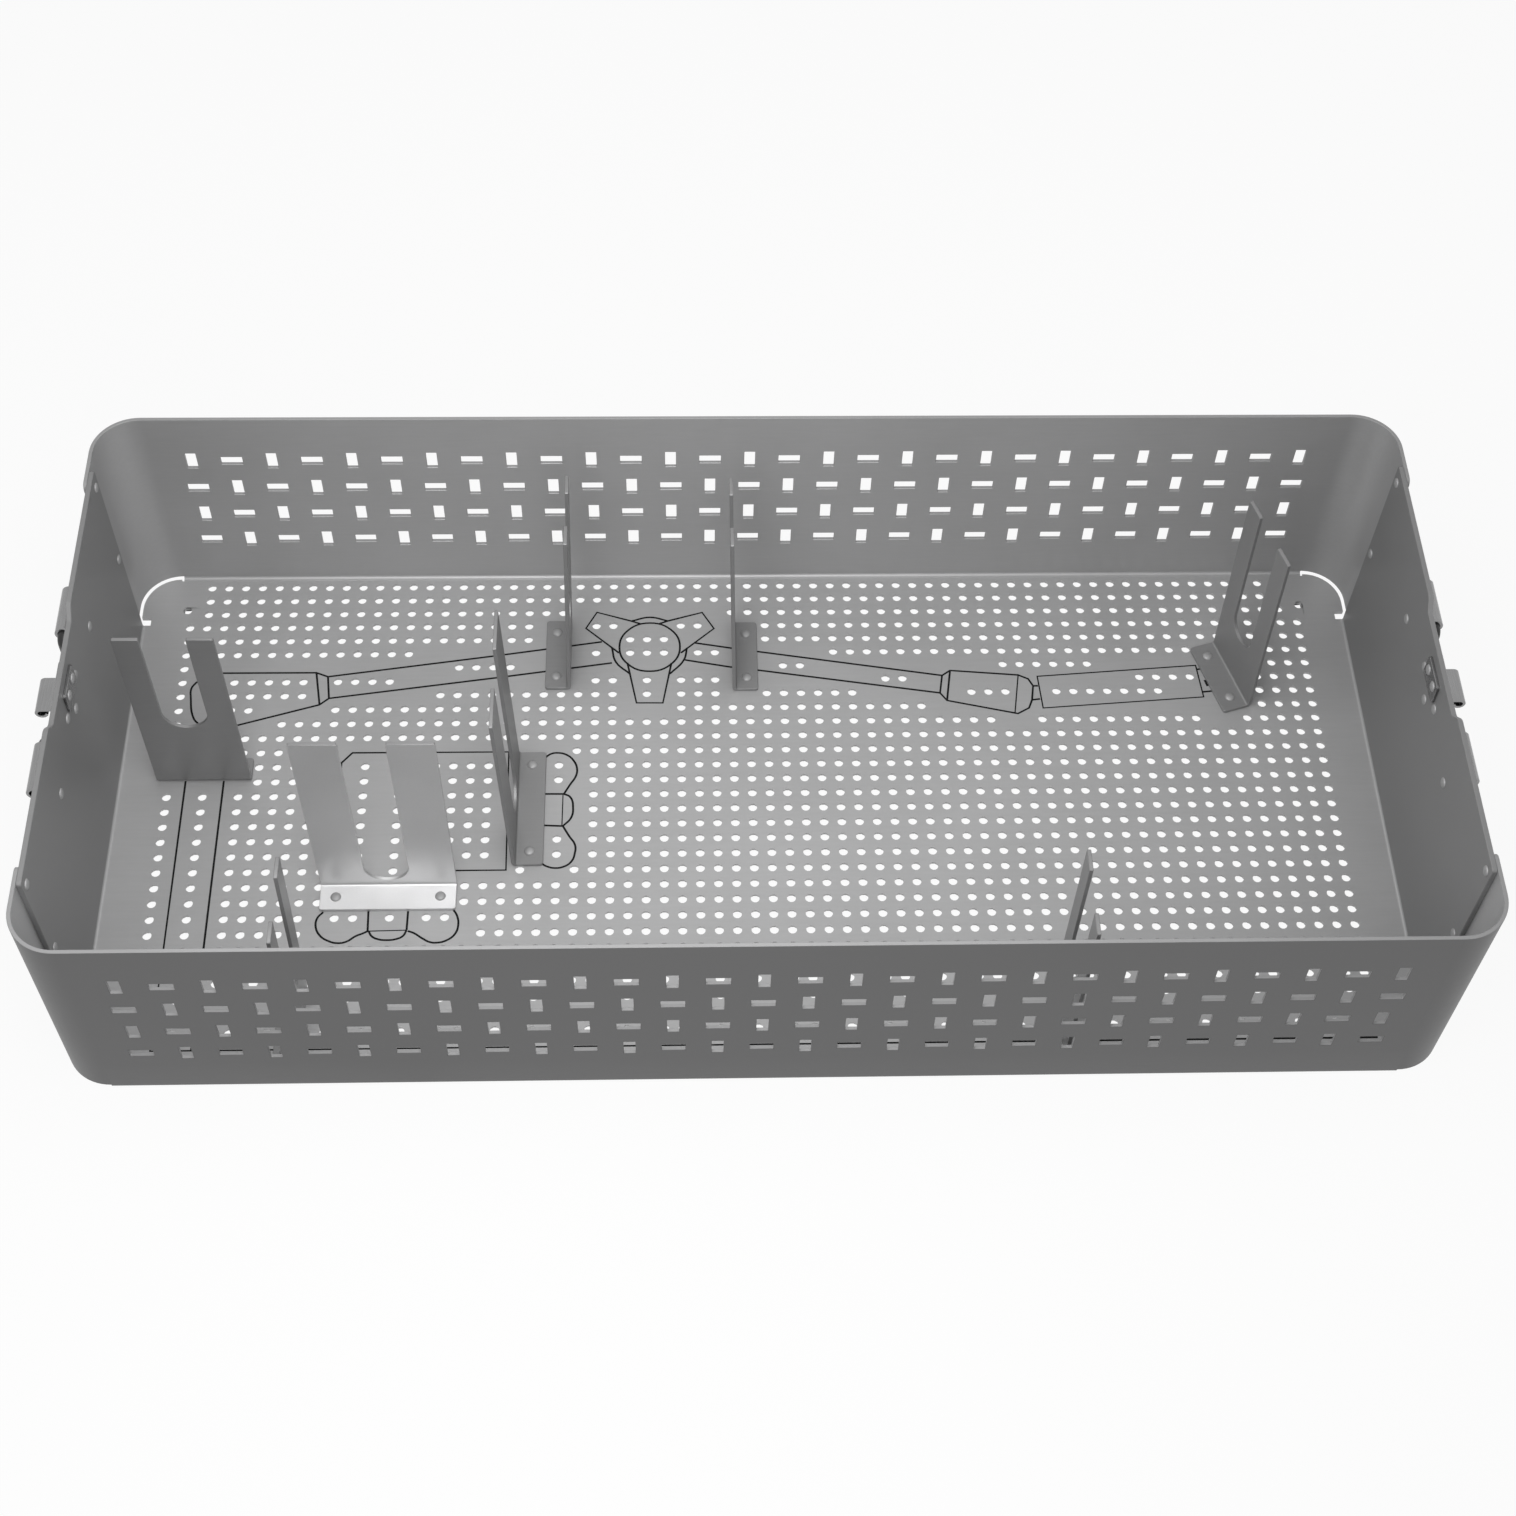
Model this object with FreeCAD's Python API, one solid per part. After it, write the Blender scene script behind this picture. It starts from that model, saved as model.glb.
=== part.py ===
import FreeCAD, Part
import math
import os

from FreeCAD import Placement, Rotation, Vector

# Perforated instrument basket of a sterilization container, in millimetres.
# +X runs along the basket, +Y to its back, +Z up.
# The origin is the centre of the underside.

os.makedirs("parts", exist_ok=True)
doc = FreeCAD.newDocument("sterilization_basket")

SIZES = {
    # The sheet body.
    "half_length": 271.75,
    "half_width": 127.5,
    "rim_height": 105.9,
    "pan_sheet": 2.0,
    "wall_sheet": 1.5,
    "wall_fold": 3.0,
    "wall_fold_inside": 1.5,
    "wall_foot": 3.5,
    "corner_radius": 18.75,
    "corner_lift": 3.0,
    "drain_gap": 1.0,
    "tab_length": 18.75,
    "tab_overlap": 9.0,
    "tab_round": 3.0,
    "relief_width": 2.2,
    "relief_depth": 5.5,
    "fold_radius": 1.0,
    "notch_half_width": 30.0,
    "notch_depth": 4.9,
    "notch_slope": 4.6,
    "notch_round": 1.5,
    # The basket weave of slots in the long walls.
    "slot_pitch": 16.875,
    "slot_rise": 17.1,
    "slot_long": 9.5,
    "slot_short": 4.8,
    "slot_lowest": 29.2,
    "slot_end_margin": 10.0,
    "slot_top_margin": 22.0,
    # The forks.
    "fork_sheet": 1.5,
    "fork_bend": 1.0,
    "fork_rivet_inset": 6.5,
    # The rivets: low heads with eight facets.
    "rivet_head": 2.0,
    "rivet_crown": 1.1,
    "rivet_rise": 0.9,
    "tail_head": 1.9,
    "tail_rise": 0.6,
    "corner_rivet_inset": 4.8,
    "corner_rivet_drop": 6.4,
    "corner_rivet_spacing": 46.1,
    # The bail handles and the knuckles that hold them.
    "hardware_sheet": 1.2,
    "wire_radius": 2.4,
    "pivot_clearance": 0.05,
    "pivot_drop": 16.4,
    "knuckle_inner_end": 27.0,
    "knuckle_length": 21.75,
    "knuckle_plate": 18.5,
    "knuckle_seam": 1.0,
    "knuckle_rivet_inset": 13.5,
    "knuckle_rivet_drop": 12.1,
    "pin_depth": 18.0,
    "wire_bend": 4.0,
    "leg_inset": 5.0,
    "leg_length": 25.5,
    "flare_height": 16.0,
    "flare_width": 21.0,
    "grip_drop": 11.0,
    # The lid catches in the middle of the ends.
    "catch_half_width": 14.0,
    "catch_neck_half": 8.25,
    "catch_top_drop": 7.9,
    "catch_neck_height": 8.5,
    "catch_body_height": 18.0,
    "catch_corner": 5.0,
    "tongue_half": 7.8,
    "tongue_drop": 18.9,
    "tongue_reach": 8.6,
    "curl_radius": 2.6,
    "curl_sweep": 260.0,
    "side_rivet_inset": 3.5,
    "side_rivet_drop": 21.0,
    "low_rivet_drop": 28.9,
    "neck_rivet_half": 4.1,
    "neck_rivet_drop": 14.4,
    "backing_sheet": 1.2,
    "backing_drop": 10.1,
    "backing_height": 10.5,
}

sheet = doc.addObject("Spreadsheet::Sheet", "Sizes")
for row, (alias, value) in enumerate(SIZES.items(), start=1):
    sheet.set("A%d" % row, alias)
    sheet.set("B%d" % row, str(value))
    sheet.setAlias("B%d" % row, alias)
doc.recompute()


def size(alias):
    """Return one driving size from the sheet, in millimetres."""
    return float(sheet.get(alias))


HALF_LENGTH = size("half_length")
HALF_WIDTH = size("half_width")
RIM = size("rim_height")
PAN = size("pan_sheet")
WALL = size("wall_sheet")
METAL = size("hardware_sheet")
END_FACE = HALF_LENGTH - WALL
CORNER_X = HALF_LENGTH - size("corner_radius")
CORNER_Y = HALF_WIDTH - size("corner_radius")
TAB_END = CORNER_Y - size("tab_length")
FLAP = TAB_END + size("tab_overlap")
BORE = size("wire_radius") + size("pivot_clearance")
PIVOT_X = END_FACE + BORE + METAL
PIVOT_Z = RIM - size("pivot_drop")
KNUCKLE_Y = size("knuckle_inner_end")

# Each fork stands at a distance from an end or the middle of the basket (-1, 0, 1)
# along X and along Y. turn is the way its foot points, and lean how far its plate
# tips back from the foot, in degrees.
FORKS = {
    "fork_grip_rear": {
        "x": (-1, 39.55), "y": (0, 15.15), "turn": 90.0, "lean": 0.0,
        "width": 39.8, "height": 99.0, "slot": 18.4, "slot_floor": 40.1, "foot": 11.2,
    },
    "fork_grip_front": {
        "x": (-1, 120.85), "y": (0, -35.8), "turn": -90.0, "lean": 0.0,
        "width": 55.8, "height": 102.0, "slot": 18.4, "slot_floor": 4.7, "foot": 13.5,
    },
    "fork_collar": {
        "x": (-1, 170.85), "y": (0, 0.0), "turn": 0.0, "lean": 1.4,
        "width": 56.6, "height": 100.0, "slot": 18.4, "slot_floor": 4.7, "foot": 13.0,
    },
    "fork_shaft_left": {
        "x": (0, -78.2), "y": (1, -46.75), "turn": 180.0, "lean": 1.6,
        "width": 37.0, "height": 99.5, "slot": 17.0, "slot_floor": 25.5, "foot": 11.2,
    },
    "fork_shaft_right": {
        "x": (0, -7.5), "y": (1, -48.0), "turn": 0.0, "lean": 1.2,
        "width": 37.0, "height": 99.5, "slot": 17.0, "slot_floor": 25.5, "foot": 11.2,
    },
    "fork_head_angled": {
        "x": (1, -57.4), "y": (1, -59.1), "turn": 197.0, "lean": -1.6,
        "width": 36.5, "height": 98.5, "slot": 16.5, "slot_floor": 25.5, "foot": 13.0,
    },
    "fork_front_left": {
        "x": (-1, 91.45), "y": (-1, 24.9), "turn": 180.0, "lean": 1.6,
        "width": 37.0, "height": 98.5, "slot": 18.0, "slot_floor": 25.5, "foot": 11.2,
    },
    "fork_front_right": {
        "x": (1, -151.35), "y": (-1, 24.9), "turn": 0.0, "lean": 0.0,
        "width": 37.0, "height": 98.5, "slot": 18.0, "slot_floor": 25.5, "foot": 11.2,
    },
}


def box(x0, x1, y0, y1, z0, z1):
    """Return a box between the given limits, in either order."""
    xs, ys, zs = sorted((x0, x1)), sorted((y0, y1)), sorted((z0, z1))
    return Part.makeBox(xs[1] - xs[0], ys[1] - ys[0], zs[1] - zs[0], Vector(xs[0], ys[0], zs[0]))


def rod(radius, start, end):
    """Return a round bar between two points."""
    start, end = Vector(*start), Vector(*end)
    return Part.makeCylinder(radius, (end - start).Length, start, end - start)


def prism(points, along):
    """Return the solid that a flat outline sweeps along a vector."""
    points = [Vector(*p) for p in points]
    return Part.Face(Part.makePolygon(points + points[:1])).extrude(Vector(*along))


def mirrored(shape, x=0, y=0):
    """Return the shape mirrored to the other end (x) or from back to front (y)."""
    return shape.mirror(Vector(0, 0, 0), Vector(x, y, 0))


def add_feature(name, shape):
    """Add one sub-part that holds a finished shape."""
    feature = doc.addObject("Part::Feature", name)
    feature.Label = name
    feature.Shape = shape
    return feature


def new_sketch(body, name, plane):
    """Add a sketch on one of the body's own origin planes."""
    support = next(f for f in body.Origin.OriginFeatures if f.Role == plane)
    sketch = body.newObject("Sketcher::SketchObject", name)
    sketch.AttachmentSupport = [(support, "")]
    sketch.MapMode = "FlatFace"
    return sketch


def on_circle(centre, radius, angle):
    """Return the point of a flat circle at an angle in degrees."""
    turn = math.radians(angle)
    return Vector(centre[0] + radius * math.cos(turn), centre[1] + radius * math.sin(turn), 0)


def arc(centre, radius, first, last):
    """Return a flat arc between two angles in degrees."""
    angles = (first, (first + last) / 2, last)
    return Part.Arc(*[on_circle(centre, radius, a) for a in angles])


def line(x0, y0, x1, y1):
    """Return a flat line segment."""
    return Part.LineSegment(Vector(x0, y0, 0), Vector(x1, y1, 0))


def place_of(anchor, half):
    """Return a coordinate measured from an end or the middle of the basket."""
    side, distance = anchor
    return side * half + distance


def fork_place(fork, level):
    """Return where a fork's frame stands, its foot's underside at a level."""
    x = place_of(fork["x"], HALF_LENGTH)
    y = place_of(fork["y"], HALF_WIDTH)
    return Placement(Vector(x, y, level), Rotation(Vector(0, 0, 1), fork["turn"]))


def build_pan():
    """Build the floor with its two end flaps folded up."""
    inside, gap = HALF_WIDTH - size("wall_foot"), size("drain_gap")
    corner = size("corner_radius") - WALL - gap
    reach = CORNER_X + corner
    edge = CORNER_Y + corner
    pieces = [
        box(-CORNER_X, CORNER_X, -inside, inside, 0, PAN),
        box(-reach, reach, -CORNER_Y, CORNER_Y, 0, PAN),
    ]
    for side in (-1, 1):
        for across in (-1, 1):
            centre = Vector(side * CORNER_X, across * CORNER_Y, 0)
            pieces.append(Part.makeCylinder(corner, PAN, centre))
        pieces.append(box(side * (END_FACE - PAN), side * END_FACE, -FLAP, FLAP, 0, RIM))
        pieces.append(box(side * CORNER_X, side * END_FACE, -FLAP, FLAP, 0, PAN))
    pan = pieces[0].fuse(pieces[1:])

    cuts = []
    wide, low = size("notch_half_width"), RIM - size("notch_depth")
    narrow = wide - size("notch_slope")
    notch = [(-wide, RIM), (-narrow, low), (narrow, low), (wide, RIM), (0, RIM + PAN)]
    for side in (-1, 1):
        start, end = side * (END_FACE - size("relief_depth")), side * (END_FACE + PAN)
        for across in (-1, 1):
            outer = across * (FLAP + size("relief_width"))
            cuts.append(box(start, end, across * FLAP, outer, -PAN, 2 * PAN))
            beside = (side * (CORNER_X - corner), side * (CORNER_X + gap))
            cuts.append(box(*beside, across * inside, across * HALF_WIDTH, -PAN, 2 * PAN))
        cuts.append(prism([(start, y, z) for y, z in notch], (end - start, 0, 0)))
    pan = pan.cut(cuts).removeSplitter()
    pan = pan.makeFillet(PAN + size("fold_radius"), fold_edges(pan, END_FACE, 0))
    pan = pan.makeFillet(size("fold_radius"), fold_edges(pan, END_FACE - PAN, PAN))
    corners = [
        e for e in pan.Edges
        if abs(e.Length - PAN) < 0.01 and abs(e.BoundBox.XLength - PAN) < 0.01
        and e.BoundBox.Center.z > RIM / 2
    ]
    return pan.makeFillet(size("notch_round"), corners)


def fold_edges(pan, x, z):
    """Return the long edges of the folds at a distance from the middle and a height."""
    return [
        e for e in pan.Edges
        if e.BoundBox.YLength > FLAP * 1.9
        and abs(abs(e.BoundBox.Center.x) - x) < 0.01 and abs(e.BoundBox.Center.z - z) < 0.01
    ]


def build_fold():
    """Build the bottom edge of the rear wall, which folds in to meet the floor."""
    outer, inner = size("wall_fold"), size("wall_fold_inside")
    foot, inside = HALF_WIDTH - size("wall_foot"), HALF_WIDTH - WALL
    top = PAN + inner
    profile = [
        line(foot, 0, HALF_WIDTH - outer, 0),
        arc((HALF_WIDTH - outer, outer), outer, 270, 360),
        line(HALF_WIDTH, outer, HALF_WIDTH, top),
        line(HALF_WIDTH, top, inside, top),
        arc((inside - inner, top), inner, 360, 270),
        line(inside - inner, PAN, foot, PAN),
        line(foot, PAN, foot, 0),
    ]
    face = Part.Face(Part.Wire([piece.toShape() for piece in profile]))
    face.Placement = Placement(Vector(-CORNER_X, 0, 0), Rotation(Vector(1, 1, 1), 120))
    return face.extrude(Vector(2 * CORNER_X, 0, 0))


def build_wall():
    """Build the rear wall: folded sheet with rolled ends and a basket weave of slots."""
    outer, inner = size("corner_radius"), size("corner_radius") - WALL
    right, left = (CORNER_X, CORNER_Y), (-CORNER_X, CORNER_Y)
    inside = HALF_WIDTH - WALL
    plan = [
        line(HALF_LENGTH, TAB_END, HALF_LENGTH, CORNER_Y),
        arc(right, outer, 0, 90),
        line(CORNER_X, HALF_WIDTH, -CORNER_X, HALF_WIDTH),
        arc(left, outer, 90, 180),
        line(-HALF_LENGTH, CORNER_Y, -HALF_LENGTH, TAB_END),
        line(-HALF_LENGTH, TAB_END, -END_FACE, TAB_END),
        line(-END_FACE, TAB_END, -END_FACE, CORNER_Y),
        arc(left, inner, 180, 90),
        line(-CORNER_X, inside, CORNER_X, inside),
        arc(right, inner, 90, 0),
        line(END_FACE, CORNER_Y, END_FACE, TAB_END),
        line(END_FACE, TAB_END, HALF_LENGTH, TAB_END),
    ]
    outline = Part.Wire([piece.toShape() for piece in plan])
    wall = Part.Face(outline).extrude(Vector(0, 0, RIM - size("corner_lift")))
    wall.translate(Vector(0, 0, size("corner_lift")))
    wall = wall.fuse(build_fold()).removeSplitter()
    back = HALF_WIDTH + WALL
    cuts = []

    # Upright and lying slots take turns along each row and from row to row.
    pitch, rise, low = size("slot_pitch"), size("slot_rise"), size("slot_lowest")
    long, short = size("slot_long") / 2, size("slot_short") / 2
    reach = int((CORNER_X - size("slot_end_margin") - long) / pitch)
    rows = 1 + int((RIM - size("slot_top_margin") - low) / rise)
    for column in range(-reach, reach + 1):
        for row in range(rows):
            upright = (column + reach + row) % 2 == 1
            half_x, half_z = (short, long) if upright else (long, short)
            x, z = column * pitch, low + row * rise
            limits = (x - half_x, x + half_x, inside - WALL, back, z - half_z, z + half_z)
            cuts.append(box(*limits))
    wall = wall.cut(cuts)
    ends = [
        e for e in wall.Edges
        if abs(e.Length - WALL) < 0.01 and abs(e.BoundBox.Center.y - TAB_END) < 0.01
        and e.BoundBox.XLength > WALL / 2
    ]
    return wall.makeFillet(size("tab_round"), ends)


def build_fork(name, fork):
    """Build one fork: a bent sheet with a round-bottomed slot and a foot."""
    body = doc.addObject("PartDesign::Body", name)
    body.Label = name
    thick = size("fork_sheet")
    outer = thick + size("fork_bend")
    height, half, lean = fork["height"], fork["slot"] / 2, fork["lean"]
    bend, last = (outer, outer), 270 - lean
    under, over = on_circle(bend, outer, last), on_circle(bend, size("fork_bend"), last)
    foot = on_circle((0, 0), fork["foot"] - outer, -lean)
    side_view = new_sketch(body, name + "_side", "XZ_Plane")
    side_view.addGeometry([
        Part.LineSegment(under + foot, over + foot),
        Part.LineSegment(over + foot, over),
        arc(bend, size("fork_bend"), last, 180),
        line(thick, outer, thick, height),
        line(thick, height, 0, height),
        line(0, height, 0, outer),
        arc(bend, outer, 180, last),
        Part.LineSegment(under, under + foot),
    ], False)
    pad = body.newObject("PartDesign::Pad", name + "_sheet")
    pad.Profile = side_view
    pad.Length = fork["width"]
    pad.Midplane = True
    body.Tip = pad

    shoulder, above = fork["slot_floor"] + half, height + thick
    slot = new_sketch(body, name + "_slot", "YZ_Plane")
    slot.addGeometry([
        arc((0, shoulder), half, 180, 360),
        line(half, shoulder, half, above),
        line(half, above, -half, above),
        line(-half, above, -half, shoulder),
    ], False)
    cut = body.newObject("PartDesign::Pocket", name + "_slot_cut")
    cut.Profile = slot
    cut.Length = 2 * outer
    cut.Midplane = True
    body.Tip = cut
    tip = Rotation(Vector(0, 1, 0), -lean)
    body.Placement = fork_place(fork, PAN) * Placement(Vector(), tip, Vector(outer, 0, outer))
    return body


def ring(radius, level, facets):
    """Return a flat ring of short chords round Z."""
    points = [on_circle((0, 0), radius, 360 * i / facets) for i in range(facets + 1)]
    return Part.makePolygon([p + Vector(0, 0, level) for p in points])


def head(base, direction, radius, crown, rise):
    """Return one rivet head standing on a face, pointing along a direction."""
    shape = Part.makeLoft([ring(radius, 0, 8), ring(crown, rise, 8)], True, True)
    shape.Placement = Placement(Vector(*base), Rotation(Vector(0, 0, 1), Vector(*direction)))
    return shape


def rivet_head(base, direction):
    """Return the set head of a rivet."""
    return head(base, direction, size("rivet_head"), size("rivet_crown"), size("rivet_rise"))


def rivet_tail(base, direction):
    """Return the formed end of a rivet."""
    return head(base, direction, size("tail_head"), size("tail_head") * 0.8, size("tail_rise"))


def end_rivets(points, inner_sheet, outer_sheet):
    """Return heads inside and formed ends outside, at both ends of the basket."""
    shapes = []
    for side in (-1, 1):
        for y, z in points:
            inner = side * (END_FACE - PAN - inner_sheet)
            outer = side * (END_FACE + outer_sheet)
            shapes.append(rivet_head((inner, y, z), (-side, 0, 0)))
            shapes.append(rivet_tail((outer, y, z), (side, 0, 0)))
    return shapes


def build_fork_rivets():
    """Build the rivet heads on the feet of all the forks."""
    thick = size("fork_sheet")
    shapes = []
    for fork in FORKS.values():
        across = fork["width"] / 2 - size("fork_rivet_inset")
        along = (thick + fork["foot"]) / 2
        for side in (-1, 1):
            top = fork_place(fork, PAN + thick).multVec(Vector(along, side * across, 0))
            shapes.append(rivet_head(tuple(top), (0, 0, 1)))
    return Part.makeCompound(shapes)


def build_knuckle():
    """Build the rolled bracket that holds one end of a bail (right end, rear)."""
    far = KNUCKLE_Y + size("knuckle_length")
    outside = BORE + METAL
    foot = PIVOT_Z - size("knuckle_plate")
    roll = rod(outside, (PIVOT_X, KNUCKLE_Y, PIVOT_Z), (PIVOT_X, far, PIVOT_Z))
    plate = box(END_FACE, END_FACE + METAL, KNUCKLE_Y, far, foot, PIVOT_Z)
    shape = roll.fuse(plate).removeSplitter()
    over = (KNUCKLE_Y - METAL, far + METAL)
    shape = shape.cut(rod(BORE, (PIVOT_X, over[0], PIVOT_Z), (PIVOT_X, over[1], PIVOT_Z)))
    # The roll stays open where the sheet's edge comes back to the plate.
    seam = END_FACE + METAL + size("knuckle_seam")
    low = PIVOT_Z - outside - METAL
    return shape.cut(box(END_FACE + METAL, seam, over[0], over[1], low, PIVOT_Z))


def bent(points, radius, chords):
    """Return the points of a path whose corners are bends made of short chords."""
    points = [Vector(*p) for p in points]
    path = [points[0]]
    for before, corner, after in zip(points, points[1:], points[2:]):
        back, ahead = (before - corner).normalize(), (after - corner).normalize()
        half = back.getAngle(ahead) / 2
        centre = corner + (back + ahead).normalize() * (radius / math.sin(half))
        start = corner + back * (radius / math.tan(half)) - centre
        axis = back.cross(ahead).normalize() * -1
        sweep = 180 - math.degrees(2 * half)
        for step in range(chords + 1):
            turn = Rotation(axis, sweep * step / chords)
            path.append(centre + turn.multVec(start))
    path.append(points[-1])
    return path


def build_handle():
    """Build the bail of round wire that hangs from two knuckles (right end)."""
    pin = KNUCKLE_Y + size("pin_depth")
    leg = KNUCKLE_Y - size("leg_inset")
    grip = leg + size("flare_width")
    flare = PIVOT_Z - size("leg_length")
    wide = flare - size("flare_height")
    low = wide - size("grip_drop")
    corners = [(pin, PIVOT_Z), (leg, PIVOT_Z), (leg, flare), (grip, wide), (grip, low)]
    corners += [(-y, z) for y, z in reversed(corners)]
    path = bent([(PIVOT_X, y, z) for y, z in corners], size("wire_bend"), 2)
    section = ring(size("wire_radius"), 0, 12)
    section.Placement = Placement(path[0], Rotation(Vector(0, 0, 1), Vector(0, -1, 0)))
    sweep = Part.BRepOffsetAPI.MakePipeShell(Part.makePolygon(path))
    sweep.setTransitionMode(1)
    sweep.add(section, False, False)
    sweep.build()
    sweep.makeSolid()
    return sweep.shape()


def build_catch():
    """Build the lid catch: a plate with a tongue that reaches out and curls (right end)."""
    half, neck, corner = size("catch_half_width"), size("catch_neck_half"), size("catch_corner")
    top = RIM - size("catch_top_drop")
    shoulder = top - size("catch_neck_height")
    low = shoulder - size("catch_body_height")
    outline = [
        (half - corner, low), (half, low + corner), (half, shoulder), (neck, shoulder),
        (neck, top), (-neck, top), (-neck, shoulder), (-half, shoulder), (-half, low + corner),
        (-half + corner, low),
    ]
    plate = prism([(END_FACE, y, z) for y, z in outline], (METAL, 0, 0))

    # The tongue's edge-on line: straight out from the plate, then down and round.
    level = RIM - size("tongue_drop")
    outer = size("curl_radius")
    inner, end = outer - METAL, 90 - size("curl_sweep")
    start, bend = END_FACE, END_FACE + size("tongue_reach")
    centre = (bend, level - outer)
    pieces = [
        line(start, level, bend, level),
        arc(centre, outer, 90, end),
        Part.LineSegment(on_circle(centre, outer, end), on_circle(centre, inner, end)),
        arc(centre, inner, end, 90),
        line(bend, level - METAL, start, level - METAL),
        line(start, level - METAL, start, level),
    ]
    profile = Part.Wire([piece.toShape() for piece in pieces])
    width = size("tongue_half")
    tongue = Part.Face(profile).extrude(Vector(0, 0, 2 * width))
    tongue.rotate(Vector(0, 0, 0), Vector(1, 0, 0), 90)
    tongue.translate(Vector(0, width, 0))
    return plate.fuse(tongue).removeSplitter()


def build_backing():
    """Build the plate on the inside of the end flap behind a catch (right end)."""
    inner, neck = END_FACE - PAN, size("catch_neck_half")
    top = RIM - size("backing_drop")
    return box(inner - size("backing_sheet"), inner, -neck, neck, top - size("backing_height"), top)


# The sub-parts.
add_feature("base_pan", build_pan())
rear = add_feature("rear_wall", build_wall())
front = add_feature("front_wall", rear.Shape)
front.Placement = Placement(Vector(0, 0, 0), Rotation(Vector(0, 0, 1), 180))
for name, fork in FORKS.items():
    build_fork(name, fork)
add_feature("fork_rivets", build_fork_rivets())

corner_y = TAB_END + size("corner_rivet_inset")
corner_z = RIM - size("corner_rivet_drop")
corner_points = [
    (side * corner_y, corner_z - drop)
    for side in (-1, 1)
    for drop in (0, size("corner_rivet_spacing"))
]
add_feature("corner_rivets", Part.makeCompound(end_rivets(corner_points, 0, WALL)))

knuckle = build_knuckle()
add_feature("knuckle_right_rear", knuckle)
add_feature("knuckle_right_front", mirrored(knuckle, y=1))
add_feature("knuckle_left_rear", mirrored(knuckle, x=1))
add_feature("knuckle_left_front", mirrored(mirrored(knuckle, y=1), x=1))
knuckle_y = KNUCKLE_Y + size("knuckle_rivet_inset")
knuckle_points = [(side * knuckle_y, PIVOT_Z - size("knuckle_rivet_drop")) for side in (-1, 1)]
add_feature("knuckle_rivets", Part.makeCompound(end_rivets(knuckle_points, 0, METAL)))

handle = build_handle()
add_feature("handle_right", handle)
add_feature("handle_left", mirrored(handle, x=1))

catch = build_catch()
add_feature("catch_right", catch)
add_feature("catch_left", mirrored(catch, x=1))
backing = build_backing()
add_feature("backing_right", backing)
add_feature("backing_left", mirrored(backing, x=1))
catch_y = size("catch_half_width") - size("side_rivet_inset")
plate_points = [(side * catch_y, RIM - size("side_rivet_drop")) for side in (-1, 1)]
plate_points.append((0, RIM - size("low_rivet_drop")))
neck_height = RIM - size("neck_rivet_drop")
neck_points = [(side * size("neck_rivet_half"), neck_height) for side in (-1, 1)]
catch_rivets = end_rivets(plate_points, 0, METAL)
catch_rivets += end_rivets(neck_points, size("backing_sheet"), METAL)
add_feature("catch_rivets", Part.makeCompound(catch_rivets))

doc.recompute()

for item in doc.Objects:
    if "Invalid" in item.State or "Error" in item.State:
        raise RuntimeError("%s did not recompute" % item.Name)
    if item.TypeId not in ("Part::Feature", "PartDesign::Body"):
        continue
    if item.Shape.isNull() or not item.Shape.isValid():
        raise RuntimeError("%s has no valid shape" % item.Label)
    item.Shape.exportStep("parts/%s.step" % item.Label)
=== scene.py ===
"""Perforated instrument basket of a sterilization container, dressed for the studio.

Sizes are in millimetres, as in the solids, and each piece is scaled to metres at the end.
"""

import logging
import math
from dataclasses import dataclass
from enum import Enum
from typing import Any, Callable, Iterable, Sequence

import bmesh
import bpy
from mathutils import Matrix, Vector

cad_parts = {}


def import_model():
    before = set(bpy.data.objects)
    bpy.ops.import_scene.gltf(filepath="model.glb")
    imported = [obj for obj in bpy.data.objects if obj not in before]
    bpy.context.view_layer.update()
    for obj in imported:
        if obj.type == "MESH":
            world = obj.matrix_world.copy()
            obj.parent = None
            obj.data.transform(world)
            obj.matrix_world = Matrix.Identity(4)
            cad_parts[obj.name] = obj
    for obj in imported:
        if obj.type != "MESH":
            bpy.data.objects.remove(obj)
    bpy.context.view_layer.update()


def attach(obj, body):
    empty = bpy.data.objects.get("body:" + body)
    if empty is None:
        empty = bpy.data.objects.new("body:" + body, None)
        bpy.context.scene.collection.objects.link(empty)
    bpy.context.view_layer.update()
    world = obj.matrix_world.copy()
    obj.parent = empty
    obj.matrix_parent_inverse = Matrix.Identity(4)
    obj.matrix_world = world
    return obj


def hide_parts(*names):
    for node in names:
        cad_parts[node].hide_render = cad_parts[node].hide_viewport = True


LOG = logging.getLogger("basket")
MM = 0.001
TOUCH = 0.01
TRAY = "basket"

Point = tuple[float, float]


class End(Enum):
    """The two short ends of the basket."""

    LEFT = -1
    RIGHT = 1


class Stroke(Enum):
    """How the points of a printed line are joined."""

    STRAIGHT = "POLY"
    SMOOTH = "BEZIER"


# Shader maths.


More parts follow.
